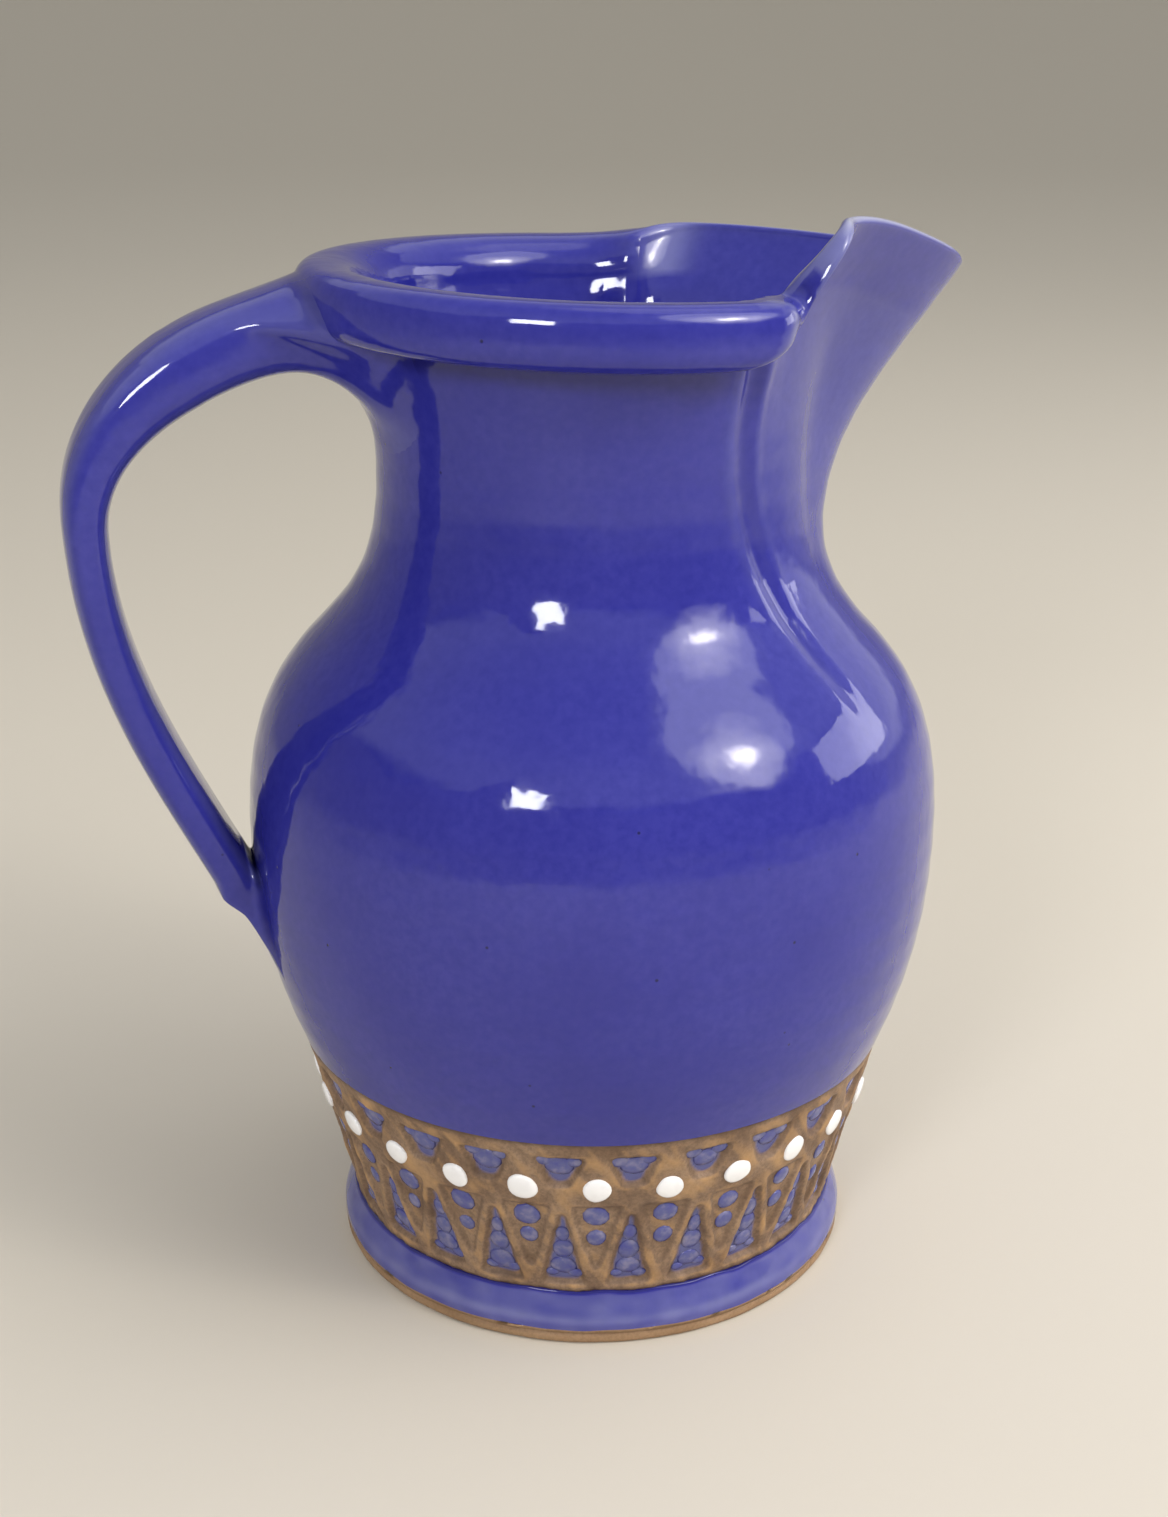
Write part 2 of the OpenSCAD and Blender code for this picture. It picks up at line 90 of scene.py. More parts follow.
class PitcherSpout(PropertyGroup):
    """Sizes of the beak spout."""
    reach: length("Reach", "Distance from the axis to the tip", 95)
    tip_drop: length("Tip drop", "How far the tip lies below the rim", 3)
    keel_r: length("Keel", "Smallest distance from the axis to the keel", 58.8)
    keel_z: length("Keel height", "Height of that place", 190)
    angle: FloatProperty(
        name="Half angle", description="Half of the angle that the spout takes out of the neck",
        default=math.radians(63), subtype="ANGLE")
    front_ear: length("Front ear", "Rise of the lip at the right hand of the pourer", 13.3)
    back_ear: length("Back ear", "Rise of the lip on the other side", 3.4)
    lip_t: length("Lip", "Thickness of the lip", 2.8)
    groove: length("Seam groove", "Depth of the groove along the seam of the spout", 1.0)


class PitcherHandle(PropertyGroup):
    """Sizes of the strap handle."""
    reach: length("Reach", "Distance from the axis to the middle of the strap", 121.5)
    reach_z: length("Reach height", "Height of the farthest place", 199)
    top_z: length("Upper end", "Height of the middle of the upper end", 244)
    low_z: length("Lower end", "Height of the middle of the lower end", 97)
    width: length("Width", "Width of the strap", 27)
    thick: length("Thickness", "Thickness of the strap", 10.5)
    root_w: length("Root width", "Width of the strap at its upper end", 31)
    root_t: length("Root thickness", "Thickness of the strap at its upper end", 18)
    upper_w: length("Upper root", "Width of the clay spread on the neck", 54)
    upper_low_z: length("Upper root foot", "Height of the foot of the upper root", 207)
    lower_w: length("Lower root", "Width of the clay spread on the belly", 31)
    lower_top_z: length("Lower root top", "Height of the upper edge of the lower root", 117)
    tail_z: length("Tail", "Height of the end of the wiped tail", 78)


class PitcherBand(PropertyGroup):
    """Sizes of the carved band."""
    repeats: IntProperty(
        name="Repeats", description="Number of repeats round the pot", default=26, min=12, max=40)
    depth: length("Depth", "Depth of the carving", 1.6)
    dot_d: length("Dots", "Diameter of the white dots", 7)
    dot_z: length("Dot height", "Height of the row of dots", 47.5)


class PitcherColours(PropertyGroup):
    """Colours of the finishes."""
    glaze: colour("Glaze", "Cobalt glaze where it lies evenly", "#2b2d93")
    # Pooled and thin glaze also paint shade under the roll and in the seam, and reflections on the ears and
    # beads
    glaze_deep: colour("Pooled glaze", "Cobalt glaze where it has pooled", "#1c1a5a")
    glaze_thin: colour("Thin glaze", "Cobalt glaze where it has drawn off an edge", "#adb0ca")
    clay: colour("Clay", "Bare fired stoneware", "#967659")
    # Dark and light clay also paint shade in the carving, highlights on its ridges and light on the bare edge
    clay_dark: colour("Cut clay", "Stoneware in the depth of the carving", "#4e382a")
    clay_light: colour("Ridges", "Stoneware on the ridges of the carving", "#c69b66")
    slip: colour("Slip", "White slip dots", "#ffffff")
    drop: colour("Drops", "Thin glaze over clay", "#5b5e93")
    floor: colour("Floor", "Pale floor", "#d6cfc0")


# Curves

def mix(a, b, share):
    return a + (b - a) * share


def clamp(x, low, high):
    return max(low, min(high, x))


def ease(x):
    x = clamp(x, 0.0, 1.0)
    return x * x * (3 - 2 * x)


def bell(x, width):
    return math.exp(-(x / width) ** 2)


def power(x, n):
    return math.copysign(abs(x) ** n, x)


def bezier(p, t):
    u = 1 - t
    return tuple(u ** 3 * a + 3 * u * u * t * b + 3 * u * t * t * c + t ** 3 * d for a, b, c, d in zip(*p))


def slope_of(p, t):
    u = 1 - t
    return tuple(
        3 * (u * u * (b - a) + 2 * u * t * (c - b) + t * t * (d - c)) for a, b, c, d in zip(*p))


def sampled(p, steps=80):
    return [bezier(p, i / steps) for i in range(steps + 1)]


def hermite(line, t):
    start, leave, end, arrive = line
    return (
        start * (2 * t ** 3 - 3 * t ** 2 + 1) + leave * 3 * (t ** 3 - 2 * t ** 2 + t)
        + end * (3 * t ** 2 - 2 * t ** 3) + arrive * 3 * (t ** 3 - t ** 2))


def wobble(x, y, z, grain):
    """Smooth unevenness of hand work, from -1 to 1, with that grain in metres."""
    return noise.noise(Vector((x, y, z)) / grain)


def wobble_round(turn, r, z, grain):
    """The same on a circle about the axis of the pot."""
    return wobble(math.cos(turn) * r, math.sin(turn) * r, z, grain)


class Line:
    """Radius by height along a line, read from even steps."""

    STEP = 0.25 * MM

    def __init__(self, points):
        heights, radii = zip(*sorted(set((z, r) for r, z in points)))
        self.low = heights[0]
        count = int((heights[-1] - self.low) / self.STEP) + 2
        even = [self.low + i * self.STEP for i in range(count)]
        self.radii = [float(r) for r in np.interp(even, heights, radii)]

    def at(self, z):
        place = clamp((z - self.low) / self.STEP, 0.0, len(self.radii) - 1.001)
        index = int(place)
        return mix(self.radii[index], self.radii[index + 1], place - index)


class Pot:
    """Lines of the pot that its pieces share, worked out from the properties."""

    # Beak, with the angle a in degrees from the tip: its ears stand and end at these shares of the half
    # angle, and the lip rises to them in these powers, in front and at the back
    EAR, EAR_END, EAR_RISE = 0.738, 0.976, (0.8, 0.5)
    # Dip of the flanks into the round of the neck, flare of the front ear, its share at the back, and the
    # height over which it flares
    HOLLOW, FLARE, BACK_FLARE, FLARE_H = 2 * MM, 8.5 * MM, 0.3, 15 * MM
    # Angle between the keel and each flank at the tip, and the angle over which the tip is blunt
    FLANK, BLUNT = 45, 5
    # Angle past the half angle by which the beak has ended, and shares of the half angle: where the ridge of
    # the keel ends, where the flanks start to fade, and over how much they do
    PAST, RIDGE_SHARE, FADE_SHARES = 4, 0.5, (0.8, 0.25)
    # Angles of the ears' flare: its middle, its width, where it is cut short, and over how much
    FLARE_AT, FLARE_W, FLARE_END, FLARE_FADE = 58, 8, 60, 7
    # The rim lifts about this angle beside the back ear, within this width
    LIFT_AT, LIFT_W = 56, 14
    # The rim is not quite level: its rise at the axis, and per length toward the spout and toward the back
    RIM_LEAN = (-0.6 * MM, -0.03, 0.015)
    # Seam of the beak: heights in millimetres and angles from the tip in degrees
    SEAM = (
        (150, 46), (158, 50), (174, 54), (183, 56.5), (192, 59.5),
        (203, 62.5), (212, 64.5), (223, 65.5), (240, 65))
    # Heights in millimetres at which it starts and ends, and over how much
    SEAM_START, SEAM_END = (152, 26), (236, 8)
    # Width of its groove, and place and width of the bead on each side
    GROOVE_W, BEAD_AT, BEAD_W = 2.6 * MM, 4.4 * MM, 1.7 * MM
    # Throwing: unevenness of the hand and its grain, height and run of the rings, and how far in the skin lies
    HAND, HAND_GRAIN, RING, RING_RUN, INSET = 0.16 * MM, 45 * MM, 0.05 * MM, 1.35 * MM, 0.22 * MM
    # How soft the section of the roll is, and how far its top lies outside the middle of its width
    ROLL_SOFT, ROLL_OUT = 0.74, 0.6 * MM

    def __init__(self, scene):
        w, s = scene.pitcher_wall, scene.pitcher_spout
        self.w, self.s, self.h, self.b = w, s, scene.pitcher_handle, scene.pitcher_band
        self.band_z = w.edge_h + w.foot_h
        self.band_end = self.band_z + w.band_h
        self.foot_r, self.band_low_r, self.band_top_r = w.foot_d / 2, w.band_low_d / 2, w.band_top_d / 2
        belly_r, neck_r, mouth_r = w.belly_d / 2, w.neck_d / 2, w.mouth_d / 2
        self.foot = [
            (self.foot_r, w.edge_h), (self.foot_r, mix(w.edge_h, self.band_z, 0.35)),
            (self.band_low_r, mix(w.edge_h, self.band_z, 0.8)), (self.band_low_r, self.band_z)]
        belly_low = [
            (self.band_top_r, self.band_end),
            (mix(self.band_top_r, belly_r, 0.64), mix(self.band_end, w.belly_z, 0.3)),
            (belly_r, mix(w.belly_z, self.band_end, 0.4)), (belly_r, w.belly_z)]
        shoulder = [
            (belly_r, w.belly_z), (belly_r, mix(w.belly_z, w.neck_z, 0.645)),
            (neck_r, mix(w.neck_z, w.belly_z, 0.535)), (neck_r, w.neck_z)]
        mouth = [
            (neck_r, w.neck_z), (neck_r, mix(w.neck_z, w.rim_z, 0.45)),
            (mix(mouth_r, neck_r, 0.45), mix(w.rim_z, w.neck_z, 0.45)), (mouth_r, w.rim_z)]
        self.joint_z = bezier(shoulder, 0.27)[1]
        self.wall_line = Line(sampled(belly_low) + sampled(shoulder) + sampled(mouth))
        # Keel of the beak
        start, run = bezier(shoulder, 0.5), slope_of(shoulder, 0.5)
        self.keel_start, self.tip_z = start[1], w.rim_z - s.tip_drop
        low_keel = [
            start, (start[0] + run[0] * 0.1, start[1] + run[1] * 0.1),
            (s.keel_r, mix(s.keel_z, start[1], 0.42)), (s.keel_r, s.keel_z)]
        high_keel = [
            (s.keel_r, s.keel_z), (s.keel_r, mix(s.keel_z, self.tip_z, 0.32)),
            (mix(s.keel_r, s.reach, 0.42), mix(s.keel_z, self.tip_z, 0.56)), (s.reach, self.tip_z)]
        self.keel_line = Line(sampled(low_keel) + sampled(high_keel))
        self.seam_line = Line([(a, z * MM) for z, a in self.SEAM])
        # Roll
        self.roll_low = w.rim_z - w.roll_h
        self.roll_mid = w.rim_z - w.roll_h / 2
        self.roll_r = w.roll_d / 2
        self.roll_in_z = self.roll_low + 0.24 * w.roll_h
        self.roll_mid_r = (self.wall_r(self.roll_low) + self.roll_r) / 2 + self.ROLL_OUT

    def wall_r(self, z):
        return self.wall_line.at(z)

    def band_r(self, z):
        return mix(self.band_low_r, self.band_top_r, (z - self.band_z) / self.w.band_h)

    def rim_shift(self, a):
        """How far the rolled rim stands above or below its height there; it lifts toward the back ear."""
        turn, (level, ahead, aside) = math.radians(a), self.RIM_LEAN
        lean = self.w.mouth_d / 2 * (ahead * math.cos(turn) + aside * math.sin(turn))
        return level + lean + self.s.back_ear * bell(a - self.LIFT_AT, self.LIFT_W)

    def lip_z(self, a):
        share = abs(a) / math.degrees(self.s.angle)
        top, full = (self.s.front_ear, self.EAR_RISE[0]) if a < 0 else (self.s.back_ear, self.EAR_RISE[1])
        if share < self.EAR:
            rise = math.sin(math.pi / 2 * share / self.EAR) ** full
            return self.tip_z + (self.w.rim_z + top - self.tip_z) * rise
        left = 1 - ((share - self.EAR) / (self.EAR_END - self.EAR)) ** 3
        return self.w.rim_z + mix(self.rim_shift(a), top, (left + math.hypot(left, 0.1)) / 2)

    def keel(self, z):
        return self.wall_r(z) if z < self.keel_start else self.keel_line.at(z)

    def beak_r(self, a, z):
        """Distance from the axis to the outside of the wall at that angle and height."""
        half = math.degrees(self.s.angle)
        wall_r = self.wall_r(min(z, self.w.rim_z))
        if abs(a) >= half + self.PAST:
            return wall_r
        low, high = mix(self.s.keel_z, self.w.rim_z, 0.1), mix(self.w.rim_z, self.s.keel_z, 0.1)
        v = ease((z - low) / (high - low))
        keel = self.keel(z - (self.lip_z(a) - self.tip_z) * v)
        grow = keel - wall_r
        if grow <= 0:
            return wall_r
        ridge = math.cos(math.pi / 2 * min(1, abs(a) / (half * self.RIDGE_SHARE))) ** 2
        blunt = math.hypot(a, self.BLUNT) - self.BLUNT
        side = keel * math.sin(math.radians(self.FLANK)) / math.sin(math.radians(self.FLANK + blunt))
        fade_from, fade_over = self.FADE_SHARES
        fade = 1 - ease((abs(a) / half - fade_from) / fade_over)
        proud = self.HOLLOW * math.log1p(math.exp((side - wall_r) / self.HOLLOW + 1)) - self.HOLLOW
        ear = bell(abs(a) - self.FLARE_AT, self.FLARE_W)
        ear *= 1 - ease((abs(a) - self.FLARE_END) / self.FLARE_FADE)
        ear *= 1.0 if a < 0 else self.BACK_FLARE
        flare = self.FLARE * ear * ease((z - self.lip_z(a) + self.FLARE_H) / self.FLARE_H)
        return wall_r + mix(ridge * grow, proud * fade, v) + flare

    def seam(self, a, z):
        """Depth of the groove along the seam of the beak, with a low bead on each side."""
        if z < self.SEAM[0][0] * MM:
            return 0.0
        across = (abs(a) - self.seam_line.at(z)) * self.wall_r(z) * math.pi / 180
        (start, start_over), (end, end_over) = self.SEAM_START, self.SEAM_END
        strength = ease((z / MM - start) / start_over) * (1 - ease((z / MM - end) / end_over))
        bead = bell(across - self.BEAD_AT, self.BEAD_W) + 0.7 * bell(across + self.BEAD_AT, self.BEAD_W)
        return self.s.groove * strength * (0.4 * bead - bell(across, self.GROOVE_W))

    def outer_r(self, a, z):
        """Outside of the wall with its groove and the unevenness of throwing."""
        turn = math.radians(a)
        hand = self.HAND * wobble_round(turn, 0.08, z, self.HAND_GRAIN)
        rings = self.RING * math.sin(z / self.RING_RUN + 2 * math.sin(turn))
        return self.beak_r(a, z) + self.seam(a, z) + hand + rings - self.INSET


# Meshes

# Attributes that the materials read: thin glaze above 0 and pooled glaze below it, with painted shade and
# painted reflections among them; darker clay above 0 and lighter clay below it, mostly painted shade and
# highlights of the carving; and cover of glaze on clay
GLAZE_THICKNESS_AND_SHADE, CLAY_TONE_AND_SHADE, COVER = "glaze_thin", "carve", "glaze_cover"
KEPT_NORMAL, ROW = "kept_normal", "row"


def marks(bm, name):
    """Float layer of that name on the vertices."""
    return bm.verts.layers.float.new(name)


def chain(bm, outline, closed=False):
    """Line of vertices and edges in the XZ plane through points of radius and height."""
    verts = [bm.verts.new((r, 0, z)) for r, z in outline]
    for pair in zip(verts, verts[1:] + verts[:1] if closed else verts[1:]):
        bm.edges.new(pair)
    return verts


def lathe(bm, steps, sectors):
    """Full turn of a line about the axis of the pot: one sector is spun and then copied round."""
    for angle, count, copies in (
            (math.tau / sectors, steps // sectors, False), (math.tau * (1 - 1 / sectors), sectors - 1, True)):
        bmesh.ops.spin(
            bm, geom=[*bm.verts, *bm.edges, *bm.faces], angle=angle, steps=count, use_duplicate=copies,
            cent=(0, 0, 0), axis=(0, 0, 1), dvec=(0, 0, 0), use_normal_flip=False, use_merge=False)
    bmesh.ops.remove_doubles(bm, verts=bm.verts, dist=1e-7)


def polar(co):
    return math.hypot(co.x, co.y), math.atan2(co.y, co.x)


def place(vert, r, turn, z):
    vert.co = (r * math.cos(turn), r * math.sin(turn), z)


def read_all(items, name, kind, width=1):
    """Values of an attribute of all items of a mesh."""
    values = np.zeros(len(items) * width, kind)
    items.foreach_get(name, values)
    return values


def piece(bm, name, node, materials):
    """Object from a bmesh, which stands for a CAD node and rides on its body."""
    if not bm.faces:
        raise RuntimeError(f"{name} has no faces")
    mesh = bpy.data.meshes.new(name)
    bm.to_mesh(mesh)
    bm.free()
    for material in materials:
        mesh.materials.append(material)
    if KEPT_NORMAL in mesh.attributes:
        kept = read_all(mesh.attributes[KEPT_NORMAL].data, "vector", np.float32, 3).reshape(-1, 3)
        corners = read_all(mesh.loops, "vertex_index", np.int32)
        sides = read_all(mesh.polygons, "loop_total", np.int32)
        smooth = np.repeat(read_all(mesh.polygons, "use_smooth", bool), sides)
        mesh.attributes.remove(mesh.attributes[KEPT_NORMAL])
        mesh.normals_split_custom_set((kept[corners] * smooth[:, None]).tolist())
    made = bpy.data.objects.new(name, mesh)
    bpy.context.scene.collection.objects.link(made)
    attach(made, "root")
    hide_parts(node)


def smooth_faces(bm):
    for face in bm.faces:
        face.smooth = True


def shade_as_one(skin, face, hub):
    """Turns a skin's faces outwards, away from a hub behind one of them, and keeps its normals.

    Pieces that are cut from it then still shade as one. The layer of the kept normals is returned.
    """
    bmesh.ops.recalc_face_normals(skin, faces=skin.faces)
    if face.normal.dot(face.calc_center_median() - hub) < 0:
        bmesh.ops.reverse_faces(skin, faces=skin.faces)
    smooth_faces(skin)
    skin.normal_update()
    layer = skin.verts.layers.float_vector.new(KEPT_NORMAL)
    for vert in skin.verts:
        vert[layer] = vert.normal
    return layer


def cut_pieces(skin, parts, glaze):
    """Cuts glazed pieces from a skin: for each node the faces that it keeps, and the pairs of rows at its cuts.

    The cuts are closed with flat faces, which the next piece hides.
    """
    skin.faces.index_update()
    for node, (keep, cuts) in parts.items():
        dropped = [f.index for f in skin.faces if not keep(f)]
        bm = skin.copy()
        bm.faces.ensure_lookup_table()
        bmesh.ops.delete(bm, geom=[bm.faces[i] for i in dropped], context="FACES")
        row_of = bm.verts.layers.int[ROW]
        flat = []
        for rows in cuts:
            edges = [e for e in bm.edges if e.is_boundary and all(v[row_of] in rows for v in e.verts)]
            flat += bmesh.ops.bridge_loops(bm, edges=edges)["faces"]
        flat += bmesh.ops.holes_fill(bm, edges=[e for e in bm.edges if e.is_boundary], sides=0)["faces"]
        for face in flat:
            face.smooth = False
        bmesh.ops.triangulate(bm, faces=[f for f in bm.faces if len(f.verts) > 4])
        bm.verts.layers.int.remove(bm.verts.layers.int[ROW])
        piece(bm, f"{node}_glazed", node, [glaze])
    skin.free()


# Materials

GLAZE_IOR, CLAY_IOR = 1.52, 1.5
# Paler tones that the finishes drift to
PALE_BLUE, PALE_CLAY, PALE_SLIP, PALE_DROP = map(linear, ("#6a68b0", "#b39b82", "#b9b4b4", "#9a94a8"))
# Settings of a mix of colours, and of one that multiplies them
BLEND = {"data_type": "RGBA"}
TINT = {"data_type": "RGBA", "blend_type": "MULTIPLY", "inputs": {"Factor": 1.0}}


def add(tree, kind, links=None, stops=(), inputs=None, **settings):
    """Node of that kind with its settings, inputs and colour stops, and links from other sockets into it."""
    made = tree.nodes.new("ShaderNode" + kind)
    for key, value in settings.items():
        setattr(made, key, value)
    for key, value in (inputs or {}).items():
        made.inputs[key].default_value = value
    for index, (position, rgba) in enumerate(stops):
        elements = made.color_ramp.elements
        element = elements[index] if index < len(elements) else elements.new(position)
        element.position, element.color = position, rgba
    for key, socket in (links or {}).items():
        tree.links.new(socket, made.inputs[key])
    return made


def grey(value):
    return (value, value, value, 1.0)


def mix_rgba(a, b, share):
    return tuple(mix(x, y, share) for x, y in zip(a, b))


def per(millimetres):
    """Noise scale for features of that size."""
    return 1 / (millimetres * MM)


def new_material(name):
    """Material of that name, and its node tree if it is new."""
    made = bpy.data.materials.get(name)
    if made:
        return made, None
    made = bpy.data.materials.new(name)
    made.use_nodes = True
    return made, made.node_tree


def finish(tree, links, **values):
    """Gives the shader its links, and its even values on its own sockets."""
    sockets = tree.nodes["Principled BSDF"].inputs
    for key, value in values.items():
        sockets[key].default_value = value
    for key, socket in links.items():
        tree.links.new(socket, sockets[key])


def cobalt_glaze(colours):
    """Cobalt stoneware glaze of the wall, the foot and the handle."""
    # Fired glassy and deep: sharp reflections that a faint ripple breaks up, mottled where it ran, pale where
    # it drew off an edge, dark where it pooled, with pinholes; the pale and the dark tones also paint shade
    # under the roll and in the seam, and reflections on the ears and the seam's beads
    made, tree = new_material("cobalt_stoneware_glaze")
    if tree is None:
        return made
    where = add(tree, "TexCoord").outputs["Object"]
    drift, fleck, ripple = (
        add(tree, "TexNoise", {"Vector": where}, inputs={"Scale": per(size), "Detail": detail}).outputs["Fac"]
        for size, detail in ((34, 3.0), (2.2, 4.0), (13, 2.5)))
    depth = add(tree, "Math", {0: drift, 1: fleck}, operation="MULTIPLY")
    body = add(tree, "ValToRGB", {"Fac": depth.outputs[0]}, [
        (0.1, mix_rgba(colours.glaze_deep, colours.glaze, 0.82)),
        (0.42, mix_rgba(colours.glaze, PALE_BLUE, 0.1))])
    glaze_and_shade = add(tree, "Attribute", attribute_name=GLAZE_THICKNESS_AND_SHADE).outputs["Fac"]
    tone = body.outputs["Color"]
    for full, laid in ((-1.0, colours.glaze_deep), (1.0, colours.glaze_thin)):
        share = add(tree, "MapRange", {"Value": glaze_and_shade}, inputs={"From Max": full}).outputs[0]
        tone = add(tree, "Mix", {"Factor": share, "A": tone}, inputs={"B": laid}, **BLEND).outputs["Result"]
    holes = add(tree, "TexVoronoi", {"Vector": where}, inputs={"Scale": per(11)})
    pin = add(
        tree, "ValToRGB", {"Fac": holes.outputs["Distance"]},
        [(0.02, grey(0.25)), (0.045, grey(1.0))]).outputs["Color"]
    final = add(tree, "Mix", {"A": tone, "B": pin}, **TINT)
    sheen = add(
        tree, "MapRange", {"Value": fleck},
        inputs={"From Min": 0.3, "From Max": 0.8, "To Min": 0.05, "To Max": 0.11})
    soft = add(tree, "Bump", {"Height": ripple}, inputs={"Strength": 0.72, "Distance": 0.45 * MM})
    pits = add(
        tree, "Bump", {"Height": pin, "Normal": soft.outputs["Normal"]},
        inputs={"Strength": 0.6, "Distance": 0.15 * MM})
    finish(
        tree, {"Base Color": final.outputs["Result"], "Roughness": sheen.outputs[0],
               "Normal": pits.outputs["Normal"]}, IOR=GLAZE_IOR)
    return made


def stoneware(colours):
    """Bare fired stoneware of the band and the foot's edge."""
    # Dull, grainy and unevenly brown, glassy where thin glaze ran in; darker in the cuts and lighter on the
    # ridges and the bare edge, which is painted shade and painted light
    made, tree = new_material("bare_fired_stoneware")
    if tree is None:
        return made
    where = add(tree, "TexCoord").outputs["Object"]
    flash = add(tree, "TexNoise", {"Vector": where}, inputs={"Scale": per(14), "Detail": 4.0})
    # Real grog is finer: it is drawn at 0.9 mm, so that it shows
    grog = add(
        tree, "TexNoise", {"Vector": where},
        inputs={"Scale": per(0.9), "Detail": 5.0, "Roughness": 0.65}).outputs["Fac"]
    tone = add(tree, "ValToRGB", {"Fac": flash.outputs["Fac"]}, [
        (0.3, mix_rgba(colours.clay, colours.clay_dark, 0.42)),
        (0.68, mix_rgba(colours.clay, PALE_CLAY, 0.35))])
    grain = add(tree, "ValToRGB", {"Fac": grog}, [(0.32, grey(0.62)), (0.6, grey(1.0))])
    body = add(tree, "Mix", {"A": tone.outputs["Color"], "B": grain.outputs["Color"]}, **TINT).outputs["Result"]
    # Darker clay above 0 and lighter below: painted shade and highlights of the carving, painted light on the
    # bare edge
    shade_and_tone = add(tree, "Attribute", attribute_name=CLAY_TONE_AND_SHADE).outputs["Fac"]
    ridge = add(tree, "MapRange", {"Value": shade_and_tone}, inputs={"From Max": -0.5, "To Max": 0.9}).outputs[0]
    cover = add(tree, "Attribute", attribute_name=COVER).outputs["Fac"]
    for factor, laid in ((shade_and_tone, colours.clay_dark), (ridge, colours.clay_light), (cover, colours.drop)):
        body = add(tree, "Mix", {"Factor": factor, "A": body}, inputs={"B": laid}, **BLEND).outputs["Result"]
    gloss = add(tree, "MapRange", {"Value": cover}, inputs={"To Min": 0.62, "To Max": 0.2})
    relief = add(tree, "Bump", {"Height": grog}, inputs={"Strength": 0.5, "Distance": 0.25 * MM})
    finish(
        tree, {"Base Color": body, "Roughness": gloss.outputs[0], "Normal": relief.outputs["Normal"]},
        IOR=CLAY_IOR)
    return made


def clouded(name, cloud_mm, stops, roughness):
    """Smooth glossy finish that is clouded by its thickness."""
    made, tree = new_material(name)
    if tree is None:
        return made
    where = add(tree, "TexCoord").outputs["Object"]
    cloud = add(tree, "TexNoise", {"Vector": where}, inputs={"Scale": per(cloud_mm), "Detail": 3.0})
    tone = add(tree, "ValToRGB", {"Fac": cloud.outputs["Fac"]}, stops)
    finish(tree, {"Base Color": tone.outputs["Color"]}, Roughness=roughness, IOR=GLAZE_IOR)
    return made


def white_slip(colours):
    """White slip of the dots, under clear glaze."""
    # Glossy and smooth, faintly grey where it is thin
    return clouded(
        "glazed_white_slip", 2.5, [(0.3, mix_rgba(colours.slip, PALE_SLIP, 0.1)), (0.5, colours.slip)], 0.16)


def thin_glaze(colours):
    """Thin cobalt glaze of the drops, over brown clay."""
    # Glassy and greyish, bluer where it is thick and paler where it is thinnest
    return clouded("thin_cobalt_glaze", 3.2, [
        (0.3, mix_rgba(colours.drop, colours.glaze, 0.45)), (0.5, colours.drop),
        (0.72, mix_rgba(colours.drop, PALE_DROP, 0.6))], 0.14)


# Thrown wall: belly, neck, roll and spout are cut from one skin

TURN_STEPS, TURN_SECTORS = 480, 16
BELLY_ROWS, NECK_ROWS, ROLL_ROWS = 46, 46, 52
# The columns draw together about this angle from the tip, within this span and by this power
FINE_AT, FINE_SPAN, FINE_POWER = 62.0, 20.0, 1.5
# Share of the rows over the rim at which the roll has its top, and those between which the beak's lip turns
ROLL_TOP_SHARE, LIP_SHARES = 0.62, (0.48, 0.76)
# Angle of the roll's section at the crease under it
CREASE_TURN = -125
# The beak's wall: thickness at the ears' edge, angles over which it grows to that, and height of the thin edge
EAR_T, EAR_FROM, EAR_SPAN, EDGE_H = 8.5 * MM, 42, 20, 26 * MM


def fine_angle(a):
    """Draws the columns of the skin together at the ends of the roll."""
    off = abs(a) - FINE_AT
    if abs(off) >= FINE_SPAN:
        return a
    return math.copysign(FINE_AT + FINE_SPAN * power(off / FINE_SPAN, FINE_POWER), a)


def skin_rows():
    """Rows of the skin from the band up the outside, over the rim and down the inside: kind and share."""
    walls = (("belly", BELLY_ROWS), ("neck", NECK_ROWS))
    up = [(kind, i / count) for kind, count in walls for i in range(count)]
    over = [("roll", i / ROLL_ROWS) for i in range(ROLL_ROWS + 1)]
    down = [(f"{kind}_in", 1 - i / count) for kind, count in reversed(walls) for i in range(1, count + 1)]
    return up + over + down


def roll_point(pot, share):
    """Section of the roll: from the crease under it, round the outside to the top, and down the inside."""
    w, mid_r = pot.w, pot.roll_mid_r
    if share < ROLL_TOP_SHARE:
        turn = math.radians(mix(CREASE_TURN, 90, share / ROLL_TOP_SHARE))
        c, s = math.cos(turn), math.sin(turn)
        out = pot.roll_r - mid_r if c > 0 else mid_r - pot.wall_r(pot.roll_low) + 2 * MM
        return mid_r + out * power(c, pot.ROLL_SOFT), pot.roll_mid + w.roll_h / 2 * power(s, pot.ROLL_SOFT)
    turn = (share - ROLL_TOP_SHARE) / (1 - ROLL_TOP_SHARE) * math.pi / 2
    in_r = pot.wall_r(pot.roll_in_z) - w.wall
    r = mid_r - (mid_r - in_r) * power(math.sin(turn), 0.8)
    return r, mix(pot.roll_in_z, w.rim_z, power(math.cos(turn), 0.8))


def sheet_t(pot, a, below_lip):
    """Thickness of the beak's wall, at that distance below the lip."""
    ear = clamp((abs(a) - EAR_FROM) / EAR_SPAN, 0.0, 1.0) ** 2.2
    lip = mix(pot.s.lip_t, EAR_T, ear)
    return mix(lip, pot.w.wall, ease(below_lip / EDGE_H))


